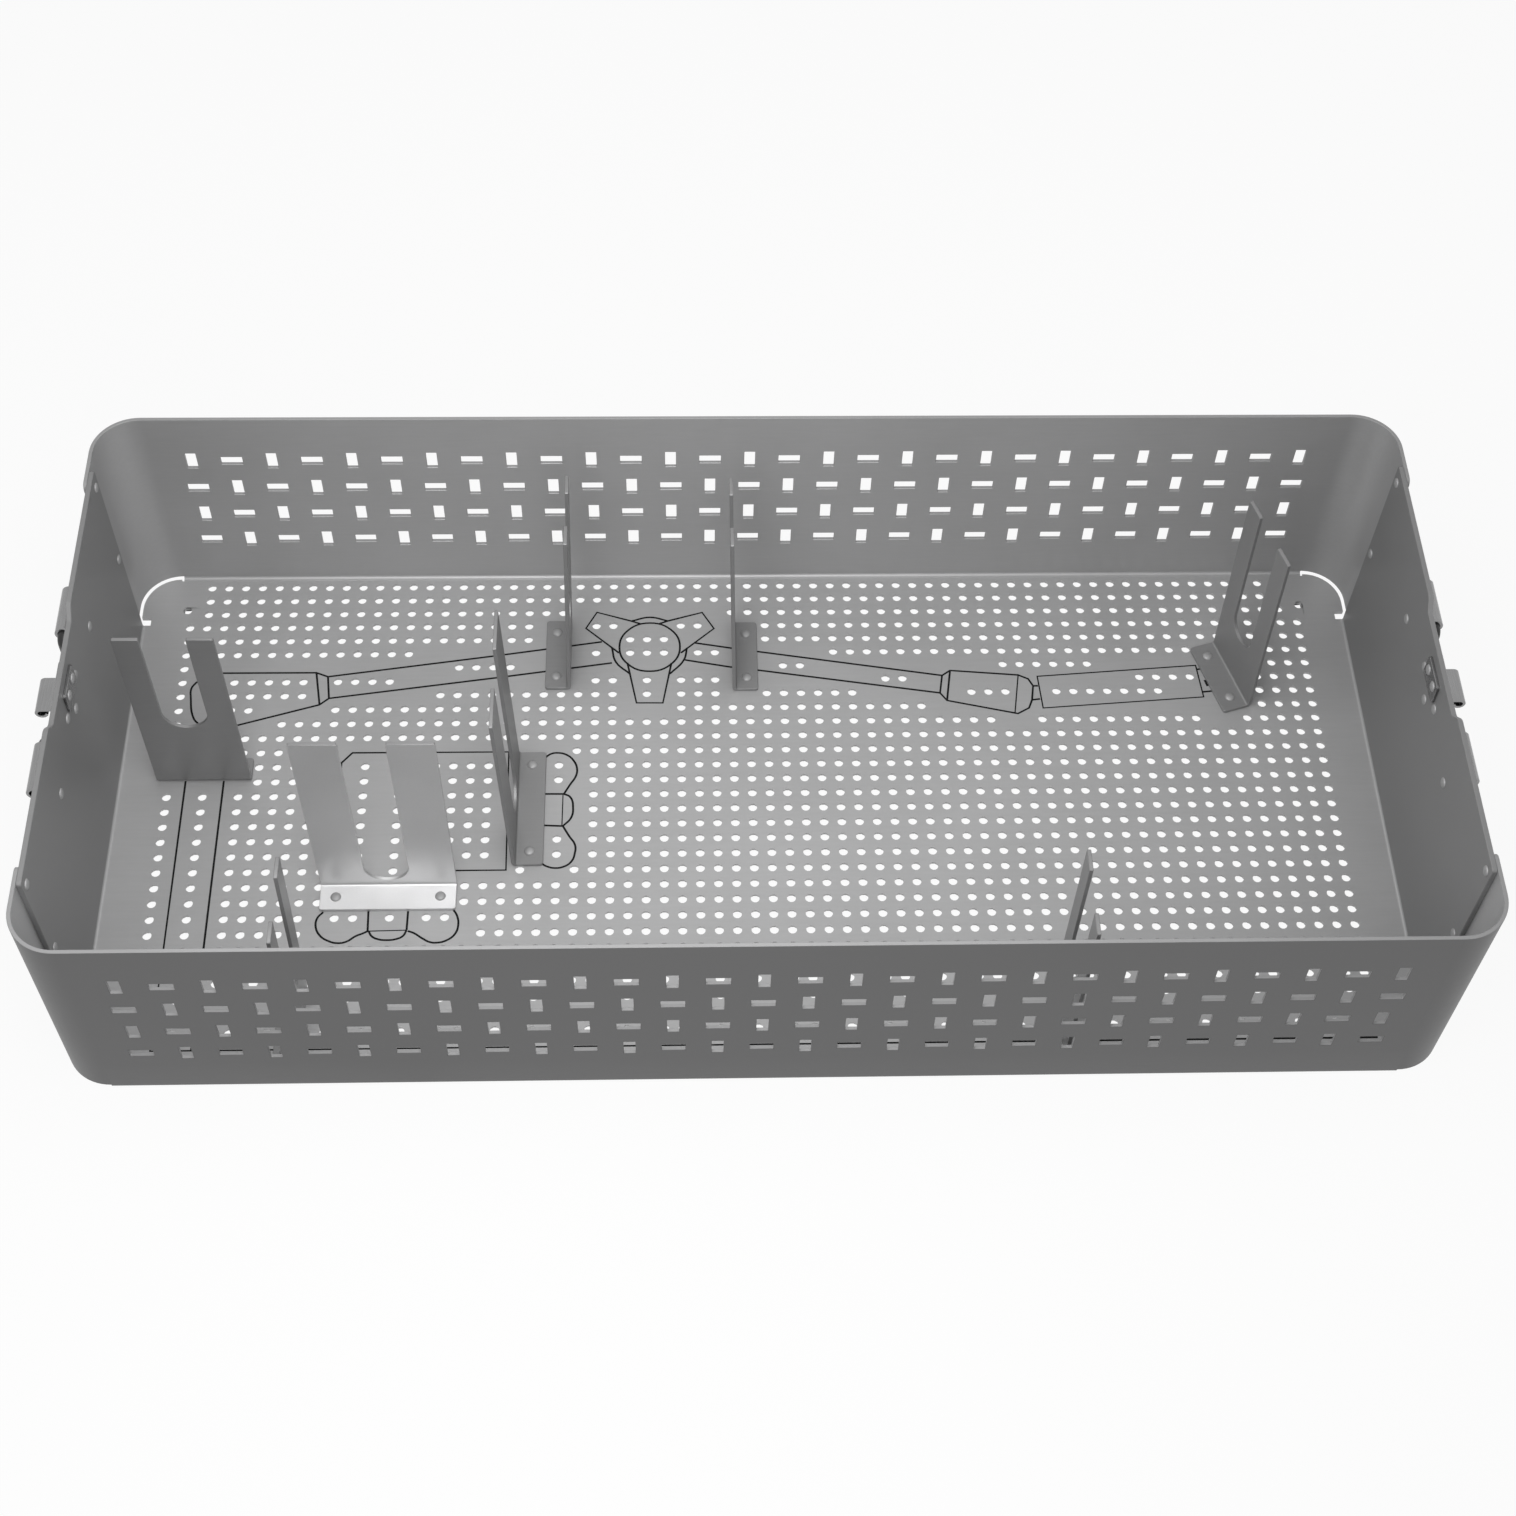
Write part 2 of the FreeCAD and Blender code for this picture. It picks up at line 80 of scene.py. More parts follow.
@dataclass(frozen=True)
class Signal:
    """A number that runs through a material, written on with Python operators."""

    shader: "Shader"
    socket: bpy.types.NodeSocket

    def _math(self, operation: str, first: Any, second: Any) -> "Signal":
        """Return the result of one Math node."""
        node = self.shader.node(
            "ShaderNodeMath", {"operation": operation}, {0: first, 1: second}
        )
        return Signal(self.shader, node.outputs[0])

    def __add__(self, other: Any) -> "Signal":
        """Return self + other."""
        return self._math("ADD", self, other)

    __radd__ = __add__

    def __sub__(self, other: Any) -> "Signal":
        """Return self - other."""
        return self._math("SUBTRACT", self, other)

    def __rsub__(self, other: Any) -> "Signal":
        """Return other - self."""
        return self._math("SUBTRACT", other, self)

    def __mul__(self, other: Any) -> "Signal":
        """Return self * other."""
        return self._math("MULTIPLY", self, other)

    __rmul__ = __mul__

    def between(self, low: float, high: float) -> "Signal":
        """Return 0 below low, 1 above high and a smooth step in between."""
        node = self.shader.node(
            "ShaderNodeMapRange",
            {"interpolation_type": "SMOOTHSTEP"},
            {"Value": self, "From Min": low, "From Max": high},
        )
        return Signal(self.shader, node.outputs[0])


class Shader:
    """The node tree of one material."""

    def __init__(self, name: str) -> None:
        """Start a material that holds one Principled shader.

        Args:
            name: The material's name.
        """
        self.material = bpy.data.materials.new(name)
        self.material.use_nodes = True
        self.tree = self.material.node_tree
        self.surface = self.tree.nodes["Principled BSDF"]
        self.output = self.tree.nodes["Material Output"]

    def node(self, kind: str, settings: dict[str, Any], inputs: dict[Any, Any]) -> bpy.types.Node:
        """Add a node, set it up and fill its sockets.

        Args:
            kind: The node's type.
            settings: Its own properties, set before its sockets.
            inputs: Values, sockets or signals by socket name or number.

        Returns:
            The new node.
        """
        node = self.tree.nodes.new(kind)
        for key, value in settings.items():
            setattr(node, key, value)
        for key, value in inputs.items():
            self.feed(node.inputs[key], value)
        return node

    def feed(self, socket: bpy.types.NodeSocket, value: Any) -> None:
        """Give a socket a plain value or a link."""
        if isinstance(value, Signal):
            value = value.socket
        if isinstance(value, bpy.types.NodeSocket):
            self.tree.links.new(value, socket)
        else:
            socket.default_value = value

    def place(self, scale: Sequence[float] = (1, 1, 1)) -> bpy.types.NodeSocket:
        """Return the point in the piece's own space, stretched by a scale."""
        where = self.node("ShaderNodeTexCoord", {}, {})
        stretch = self.node(
            "ShaderNodeMapping", {}, {"Vector": where.outputs["Object"], "Scale": scale}
        )
        return stretch.outputs[0]

    def noise(self, size: float, detail: float, scale: Sequence[float] = (1, 1, 1)) -> Signal:
        """Return smooth random variation from 0 to 1.

        Args:
            size: Size of its blotches in millimetres.
            detail: How many finer layers it has.
            scale: How the pattern is squeezed along each axis.

        Returns:
            The variation.
        """
        node = self.node(
            "ShaderNodeTexNoise",
            {},
            {"Vector": self.place(scale), "Scale": 1000 / size, "Detail": detail},
        )
        return Signal(self, node.outputs[0])

    def grey(self, tone: float, change: Signal, spread: float) -> bpy.types.NodeSocket:
        """Return a neutral colour that varies with a signal.

        Args:
            tone: The middle tone.
            change: Variation from 0 to 1.
            spread: Share of the tone by which it may rise or fall.

        Returns:
            The colour's socket.
        """
        low, high = tone * (1 - spread), tone * (1 + spread)
        mix = self.node(
            "ShaderNodeMix",
            {"data_type": "RGBA"},
            {"Factor": change, "A": (low, low, low, 1), "B": (high, high, high * 1.01, 1)},
        )
        return mix.outputs["Result"]

    def bump(self, height: Signal, depth: float) -> None:
        """Let a height, in millimetres at its full depth, tilt the surface."""
        node = self.node(
            "ShaderNodeBump", {}, {"Height": height, "Distance": depth * MM, "Strength": 1.0}
        )
        self.feed(self.surface.inputs["Normal"], node.outputs[0])


# Finishes.


@dataclass(frozen=True)
class AnodisedSheet:
    """Satin anodised aluminium sheet with a faint rolling grain."""

    name: str
    tone: float
    roughness: float
    metallic: float
    cloud: float = 0.05
    grain: float = 1.0

    def build(self) -> bpy.types.Material:
        """Return the material."""
        shader = Shader(self.name)
        cloud = shader.noise(60.0, 3.0)
        grain = shader.noise(1.2, 2.0, (0.08, 1.0, 1.0))
        speck = shader.noise(0.6, 1.0)
        surface = shader.surface.inputs
        change = cloud * 0.6 + grain * (0.3 * self.grain) + speck * 0.1
        shader.feed(surface["Base Color"], shader.grey(self.tone, change, self.cloud * 3))
        shader.feed(surface["Roughness"], cloud * 0.12 + grain * 0.08 + (self.roughness - 0.1))
        surface["Metallic"].default_value = self.metallic
        shader.bump(grain * 0.5 + speck * 0.5, 0.01 * self.grain)
        return shader.material


@dataclass(frozen=True)
class BrushedSteel:
    """Stainless steel strip, brushed along one axis."""

    name: str
    tone: float = 0.27
    roughness: float = 0.25
    along: tuple[float, float, float] = (1.0, 0.05, 1.0)

    def build(self) -> bpy.types.Material:
        """Return the material."""
        shader = Shader(self.name)
        brush = shader.noise(0.35, 2.0, self.along)
        smear = shader.noise(9.0, 2.0)
        surface = shader.surface.inputs
        change = brush * 0.7 + smear * 0.3
        shader.feed(surface["Base Color"], shader.grey(self.tone, change, 0.22))
        shader.feed(surface["Roughness"], brush * 0.16 + smear * 0.1 + (self.roughness - 0.12))
        surface["Metallic"].default_value = 1.0
        shader.bump(brush, 0.012)
        return shader.material


@dataclass(frozen=True)
class CoatedWire:
    """Black plastic coating over wire."""

    name: str
    tone: float = 0.02

    def build(self) -> bpy.types.Material:
        """Return the material."""
        shader = Shader(self.name)
        pebble = shader.noise(0.5, 2.0)
        wear = shader.noise(7.0, 3.0).between(0.55, 0.75)
        surface = shader.surface.inputs
        shader.feed(surface["Base Color"], shader.grey(self.tone, wear, 0.35))
        shader.feed(surface["Roughness"], pebble * 0.15 + wear * 0.1 + 0.32)
        shader.bump(pebble, 0.02)
        return shader.material


@dataclass(frozen=True)
class PrintedInk:
    """Black ink burnt into the anodised sheet."""

    name: str
    tone: float = 0.008

    def build(self) -> bpy.types.Material:
        """Return the material."""
        shader = Shader(self.name)
        worn = shader.noise(2.5, 3.0)
        surface = shader.surface.inputs
        shader.feed(surface["Base Color"], shader.grey(self.tone, worn, 0.4))
        shader.feed(surface["Roughness"], worn * 0.2 + 0.6)
        surface["Specular IOR Level"].default_value = 0.15
        return shader.material


@dataclass(frozen=True)
class Backdrop:
    """Pale floor that the camera and metal see as white, with the basket's soft shadow."""

    name: str
    tone: float = 0.8
    glow: float = 0.93

    def build(self) -> bpy.types.Material:
        """Return the material."""
        shader = Shader(self.name)
        shader.surface.inputs["Base Color"].default_value = (self.tone,) * 3 + (1,)
        shader.surface.inputs["Roughness"].default_value = 0.9
        path = shader.node("ShaderNodeLightPath", {}, {})
        seen = Signal(shader, path.outputs["Is Camera Ray"])
        for name in ("Is Glossy Ray", "Is Transmission Ray"):
            seen = seen + Signal(shader, path.outputs[name])
        glow = shader.node("ShaderNodeEmission", {}, {"Strength": 1.0})
        mix = shader.node(
            "ShaderNodeMixShader",
            {},
            {0: seen * self.glow, 1: shader.surface.outputs[0], 2: glow.outputs[0]},
        )
        shader.feed(shader.output.inputs[0], mix.outputs[0])
        return shader.material


@dataclass(frozen=True)
class Finishes:
    """Every material of the basket, built once."""

    pan: bpy.types.Material
    flap: bpy.types.Material
    wall: bpy.types.Material
    wall_outside: bpy.types.Material
    cut_edge: bpy.types.Material
    fork: bpy.types.Material
    bright_fork: bpy.types.Material
    rivet: bpy.types.Material
    steel: bpy.types.Material
    wire: bpy.types.Material
    ink: bpy.types.Material

    @classmethod
    def make(cls) -> "Finishes":
        """Return the basket's materials."""
        return cls(
            pan=AnodisedSheet("anodised_floor", 0.42, 0.45, 0.25).build(),
            # The end flaps: a darker copy of the floor's sheet, painted shade for the less-lit
            # folded-up ends
            flap=AnodisedSheet("anodised_flap_painted_shade", 0.25, 0.45, 0.3).build(),
            wall=AnodisedSheet("anodised_wall", 0.42, 0.42, 0.3).build(),
            # Outer faces of the long walls: a much darker copy of the wall sheet, painted shade for
            # the dim surroundings they face
            wall_outside=AnodisedSheet("anodised_wall_outside", 0.125, 0.45, 0.7).build(),
            # Slot cut edges and the rim top of the walls: a darker, rougher copy of the wall sheet;
            # the darker tone is painted shade on these upturned edges
            cut_edge=AnodisedSheet("edge_painted_shade", 0.34, 0.6, 0.3).build(),
            fork=AnodisedSheet("anodised_fork", 0.26, 0.4, 0.35).build(),
            # fork_grip_front's plate and foot: a much lighter, glossier copy of the fork finish,
            # painted light where that fork catches the lamp from the front; only its mottle is
            # random
            bright_fork=AnodisedSheet("worn_bright_fork", 0.72, 0.42, 0.7, 0.08, 0.2).build(),
            rivet=AnodisedSheet("rivet_head", 0.38, 0.5, 0.3).build(),
            steel=BrushedSteel("brushed_steel").build(),
            wire=CoatedWire("black_wire").build(),
            ink=PrintedInk("printed_line").build(),
        )


# Mesh helpers.


def boundary(mesh: bmesh.types.BMesh, test: Callable[[Vector], bool]) -> list[bmesh.types.BMEdge]:
    """Return the open edges whose two ends pass a test.

    Args:
        mesh: The mesh to look through.
        test: Says whether a point counts.

    Returns:
        The edges.
    """
    return [e for e in mesh.edges if e.is_boundary and all(test(v.co) for v in e.verts)]


def pull(
    mesh: bmesh.types.BMesh, edges: Iterable[bmesh.types.BMEdge], step: Sequence[float]
) -> list[bmesh.types.BMEdge]:
    """Extrude edges by a step.

    Args:
        mesh: The mesh that holds them.
        edges: The edges to extrude.
        step: How far they move.

    Returns:
        The new edges.
    """
    made = bmesh.ops.extrude_edge_only(mesh, edges=list(edges))["geom"]
    verts = [g for g in made if isinstance(g, bmesh.types.BMVert)]
    bmesh.ops.translate(mesh, verts=verts, vec=Vector(step))
    return [g for g in made if isinstance(g, bmesh.types.BMEdge)]


def roll(
    mesh: bmesh.types.BMesh,
    edges: Iterable[bmesh.types.BMEdge],
    centre: Sequence[float],
    axis: Sequence[float],
    degrees: float,
    steps: int,
) -> list[bmesh.types.BMEdge]:
    """Sweep edges round an axis.

    Args:
        mesh: The mesh that holds them.
        edges: The edges to sweep.
        centre: A point of the axis.
        axis: The axis.
        degrees: The angle of the sweep.
        steps: How many facets it gets.

    Returns:
        The last edges.
    """
    made = bmesh.ops.spin(
        mesh,
        geom=list(edges),
        cent=Vector(centre),
        axis=Vector(axis),
        angle=math.radians(degrees),
        steps=steps,
        use_duplicate=False,
    )["geom_last"]
    return [g for g in made if isinstance(g, bmesh.types.BMEdge)]


def thicken(mesh: bmesh.types.BMesh, depth: float) -> None:
    """Give an open shell its sheet thickness, on the side behind its faces."""
    bmesh.ops.remove_doubles(mesh, verts=mesh.verts, dist=0.001)
    bmesh.ops.solidify(mesh, geom=mesh.faces, thickness=depth)
    bmesh.ops.recalc_face_normals(mesh, faces=mesh.faces)


def round_corners(
    mesh: bmesh.types.BMesh, test: Callable[[Vector], bool], radius: float, steps: int = 4
) -> None:
    """Round the corners of a flat sheet.

    Args:
        mesh: The sheet.
        test: Says whether a vertex is one of the corners.
        radius: Radius of the rounding.
        steps: How many facets it gets.
    """
    bmesh.ops.bevel(
        mesh,
        geom=[v for v in mesh.verts if test(v.co)],
        offset=radius,
        segments=steps,
        profile=0.5,
        affect="VERTICES",
        material=-1,
    )


def break_edges(
    mesh: bmesh.types.BMesh, width: float, test: Callable[[Vector], bool] = lambda co: True
) -> None:
    """Take the sharpness off the edges of a finished sheet.

    Args:
        mesh: The closed mesh.
        width: Width of the small bevel.
        test: Says whether a vertex lies where edges are broken.
    """
    sharp = [
        e
        for e in mesh.edges
        if len(e.link_faces) == 2
        and e.calc_face_angle() > math.radians(60)
        and all(test(v.co) for v in e.verts)
    ]
    bmesh.ops.bevel(
        mesh,
        geom=sharp,
        offset=width,
        segments=1,
        profile=0.5,
        affect="EDGES",
        material=-1,
    )


def to_piece(
    mesh: bmesh.types.BMesh,
    name: str,
    materials: Sequence[bpy.types.Material],
    replaces: Sequence[str] = (),
    body: str = TRAY,
    smooth: float = 25.0,
) -> bpy.types.Object:
    """Turn a mesh in millimetres into a piece of the scene.

    Args:
        mesh: The mesh, which is freed.
        name: The piece's name.
        materials: Its finishes, in the order of its faces' material numbers.
        replaces: The nodes that it stands for.
        body: The body that it rides on.
        smooth: Edges flatter than this many degrees are shaded smooth.

    Returns:
        The new object.
    """
    mesh.transform(Matrix.Scale(MM, 4))
    data = bpy.data.meshes.new(name)
    mesh.to_mesh(data)
    mesh.free()
    data.shade_smooth()
    for face in data.polygons:
        face.use_smooth = len(face.vertices) <= 4
    data.set_sharp_from_angle(angle=math.radians(smooth))
    for material in materials:
        data.materials.append(material)
    piece = bpy.data.objects.new(name, data)
    bpy.context.scene.collection.objects.link(piece)
    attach(piece, body)
    if replaces:
        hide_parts(*replaces)
    LOG.info("%s: %d faces", name, len(data.polygons))
    return piece


class Pen:
    """Draws a flat outline in a mesh with extrude and spin."""

    def __init__(self, mesh: bmesh.types.BMesh, start: Sequence[float]) -> None:
        """Put the pen down.

        Args:
            mesh: The mesh to draw in.
            start: The first point.
        """
        self.mesh = mesh
        self.first = mesh.verts.new(start)
        self.tip = self.first
        self.drawn: list[bmesh.types.BMEdge] = []

    def to(self, *points: Sequence[float]) -> "Pen":
        """Draw straight lines to points in turn."""
        for point in points:
            made = bmesh.ops.extrude_vert_indiv(self.mesh, verts=[self.tip])
            self.tip = made["verts"][0]
            self.tip.co = Vector(point)
            self.drawn += made["edges"]
        return self

    def arc(
        self, centre: Sequence[float], axis: Sequence[float], degrees: float, steps: int
    ) -> "Pen":
        """Draw an arc round a centre.

        Args:
            centre: Centre of the arc.
            axis: Normal of the drawing.
            degrees: Angle of the arc.
            steps: How many chords it gets.

        Returns:
            The pen.
        """
        before = set(self.mesh.edges)
        made = bmesh.ops.spin(
            self.mesh,
            geom=[self.tip],
            cent=Vector(centre),
            axis=Vector(axis),
            angle=math.radians(degrees),
            steps=steps,
            use_duplicate=False,
        )["geom_last"]
        self.tip = next(g for g in made if isinstance(g, bmesh.types.BMVert))
        self.drawn += [e for e in self.mesh.edges if e not in before]
        return self

    def fill(self) -> bmesh.types.BMFace:
        """Close the outline and return it as one face."""
        self.drawn.append(self.mesh.edges.new((self.tip, self.first)))
        made = bmesh.ops.contextual_create(self.mesh, geom=self.drawn)
        return made["faces"][0]


# The sheet body.


@dataclass(frozen=True)
class Envelope:
    """Sizes that the floor and the walls share."""

    half_length: float = 271.75
    half_width: float = 127.5
    rim: float = 105.9
    pan_sheet: float = 2.0
    wall_sheet: float = 1.5
    wall_foot: float = 3.5
    corner_radius: float = 18.75
    tab_length: float = 18.75
    tab_overlap: float = 9.0

    @property
    def seam(self) -> float:
        """Return how far from the middle the floor meets the foot of a wall."""
        return self.half_width - self.wall_foot

    @property
    def end_face(self) -> float:
        """Return the distance of an end flap's outside from the middle."""
        return self.half_length - self.wall_sheet

    @property
    def corner(self) -> Point:
        """Return the centre of a rolled corner."""
        return self.half_length - self.corner_radius, self.half_width - self.corner_radius

    @property
    def tab_end(self) -> float:
        """Return how far from the middle a wall's tab reaches."""
        return self.corner[1] - self.tab_length

    @property
    def flap(self) -> float:
        """Return half the width of an end flap."""
        return self.tab_end + self.tab_overlap


@dataclass(frozen=True)
class PrintedOutline:
    """One printed line on the floor."""

    points: tuple[Point, ...]
    stroke: Stroke = Stroke.STRAIGHT
    closed: bool = False
    width: float = 0.9


OUTLINES: tuple[PrintedOutline, ...] = (
    # The long instrument's grip and left shaft.
    PrintedOutline(
        (
            (-238.2, 45.4), (-240.4, 48.1), (-243.0, 59.8), (-243.3, 63.6), (-242.6, 65.8),
            (-239.3, 69.2), (-230.4, 72.5),
        ),
        Stroke.SMOOTH,
    ),
    PrintedOutline(((-230.4, 72.5), (-189.7, 72.4), (-184.5, 70.2), (-111.6, 81.1), (-65.0, 88.5))),
    PrintedOutline(
        (
            (-238.2, 45.4), (-221.3, 44.5), (-187.0, 55.1), (-183.2, 58.5), (-109.4, 69.3),
            (-60.4, 76.8),
        )
    ),
    PrintedOutline(((-189.7, 72.4), (-187.0, 55.1))),
    PrintedOutline(((-184.5, 70.2), (-183.2, 58.5))),
    # The wheel in the middle of the shaft.
    PrintedOutline(((-47.7, 98.4), (-52.2, 100.1), (-67.4, 105.1), (-72.2, 96.1), (-57.4, 82.3))),
    PrintedOutline(((-39.7, 98.4), (-35.7, 100.0), (-20.4, 104.7), (-15.2, 95.6), (-30.0, 82.1))),
    PrintedOutline(((-53.6, 76.7), (-49.5, 55.0), (-38.0, 54.9), (-34.2, 76.6))),
    PrintedOutline(
        (
            (-30.4, 85.5), (-34.3, 95.0), (-43.8, 98.9), (-53.3, 95.0), (-57.2, 85.5),
            (-53.3, 76.0), (-43.8, 72.1), (-34.3, 76.0),
        ),
        Stroke.SMOOTH,
        closed=True,
    ),
    PrintedOutline(((-51.8, 100.1), (-43.7, 102.1), (-35.7, 100.0)), Stroke.SMOOTH),
    PrintedOutline(((-60.5, 85.1), (-58.7, 77.3), (-52.4, 70.7)), Stroke.SMOOTH),
    PrintedOutline(((-27.3, 84.8), (-28.7, 78.2), (-34.9, 70.6)), Stroke.SMOOTH),
    # The right shaft, its two barrels and its tip.
    PrintedOutline(((-23.7, 87.6), (-8.2, 84.7), (5.1, 82.4), (85.1, 68.8))),
    PrintedOutline(((-28.2, 78.2), (-8.4, 74.2), (4.8, 72.2), (83.6, 59.3))),
    PrintedOutline(
        (
            (85.1, 68.8), (88.8, 71.5), (118.8, 68.8), (123.1, 66.6), (124.9, 62.8),
            (123.8, 55.2), (122.1, 50.9), (117.0, 47.9), (115.7, 48.2), (86.4, 55.2), (83.6, 59.3),
        ),
        closed=True,
    ),
    PrintedOutline(((88.8, 71.5), (86.4, 55.2))),
    PrintedOutline(((118.8, 68.8), (115.7, 48.2)), width=0.6),
    PrintedOutline(((124.9, 62.8), (127.1, 62.8))),
    PrintedOutline(((123.8, 55.2), (127.4, 55.7))),
    PrintedOutline(((127.2, 68.0), (198.3, 73.5), (199.7, 56.2), (128.3, 50.8)), closed=True),
    PrintedOutline(((198.5, 71.2), (200.6, 71.6))),
    PrintedOutline(((201.8, 65.5), (202.7, 62.2)), width=2.0),
    PrintedOutline(((199.6, 58.9), (204.5, 59.4))),
    # The hand instrument's body and its rounded ends.
    PrintedOutline(
        (
            (-162.0, -30.1), (-175.6, -30.1), (-175.2, 24.4), (-170.9, 29.6), (-104.1, 29.5),
            (-103.2, -30.1), (-140.0, -30.1),
        )
    ),
    PrintedOutline(
        (
            (-177.1, -49.6), (-179.3, -52.4), (-179.6, -56.7), (-177.4, -60.9), (-173.9, -63.3),
            (-170.2, -64.3), (-166.6, -63.6), (-163.1, -61.1), (-160.0, -59.7), (-158.4, -58.8),
        ),
        Stroke.SMOOTH,
    ),
    PrintedOutline(
        (
            (-158.0, -58.8), (-156.6, -61.2), (-154.1, -62.6), (-150.4, -63.1), (-146.8, -62.7),
            (-144.0, -61.3), (-142.6, -58.5),
        ),
        Stroke.SMOOTH,
    ),
    PrintedOutline(
        (
            (-142.1, -58.9), (-139.6, -59.9), (-136.2, -62.3), (-132.9, -64.2), (-129.6, -64.5),
            (-126.0, -63.4), (-122.9, -60.6), (-121.7, -56.3), (-122.5, -51.6), (-123.9, -49.2),
        ),
        Stroke.SMOOTH,
    ),
    PrintedOutline(((-158.7, -49.3), (-158.4, -58.8))),
    PrintedOutline(((-142.5, -49.5), (-142.6, -58.5))),
    PrintedOutline(((-158.4, -58.8), (-142.6, -58.5)), width=0.5),
    PrintedOutline(
        (
            (-88.1, 26.7), (-86.0, 28.3), (-83.1, 28.8), (-79.2, 27.7), (-76.1, 24.5),
            (-74.7, 20.4), (-75.1, 16.8), (-77.6, 12.2), (-80.0, 7.6),
        ),
        Stroke.SMOOTH,
    ),
    PrintedOutline(
        ((-80.0, 7.6), (-77.4, 6.1), (-76.0, 0.5), (-76.8, -4.6), (-80.1, -8.6)), Stroke.SMOOTH
    ),
    PrintedOutline(
        (
            (-80.1, -8.6), (-77.4, -13.6), (-74.8, -18.1), (-74.8, -22.0), (-76.3, -26.4),
            (-79.6, -28.8), (-83.3, -29.3), (-86.7, -28.3), (-88.8, -26.8),
        ),
        Stroke.SMOOTH,
    ),
    PrintedOutline(((-89.3, 7.7), (-80.0, 7.6))),
    PrintedOutline(((-88.1, -8.2), (-80.1, -8.6))),
    PrintedOutline(((-80.4, 7.1), (-80.5, -8.1)), width=0.5),
    # The long strip at the left and the line along the front.
    PrintedOutline(((-240.3, 15.7), (-240.0, -112.5), (248.0, -112.5))),
    PrintedOutline(((-224.2, 15.6), (-223.9, -112.5))),
)


# Places of the hole grid, by column and row from the middle, that the photograph shows
# plain although no printed line runs close by.
PLAIN: frozenset[tuple[int, int]] = frozenset(
    {
        (-10, -14), (-7, -14), (-5, -14), (-2, -14), (-8, -12), (-2, -12), (-19, -11), (-18, -11),
        (-17, -11), (-10, -11), (4, -11), (-24, -10), (-13, -10), (10, -10), (11, -10), (12, -10),
        (13, -10), (14, -10), (21, -10), (22, -10), (23, -10), (-20, -9), (-13, -9), (-10, -9),
        (1, -9), (22, -9), (-20, -8), (-19, -8), (-1, -8), (0, -8), (7, -8), (25, -8), (26, -8),
        (-28, -7), (-7, -7), (11, -7), (15, -7), (26, -7), (27, -7), (15, -6), (16, -6), (27, -6),
        (28, -6), (-13, -4), (-12, -4), (-12, 4), (-23, 8), (-17, 8), (17, 8),
    }
    | {(-21, row) for row in range(-3, 5)}
)

# Places that it shows drilled although a line runs close by.
DRILLED: frozenset[tuple[int, int]] = frozenset({(-7, -12), (-7, -11), (-20, 4)})


def gap(point: Point, start: Point, end: Point) -> float:
    """Return the distance of a point from a stretch of line."""
    along = Vector(end) - Vector(start)
    share = (Vector(point) - Vector(start)).dot(along) / along.length_squared
    return (Vector(start) + along * min(1.0, max(0.0, share)) - Vector(point)).length


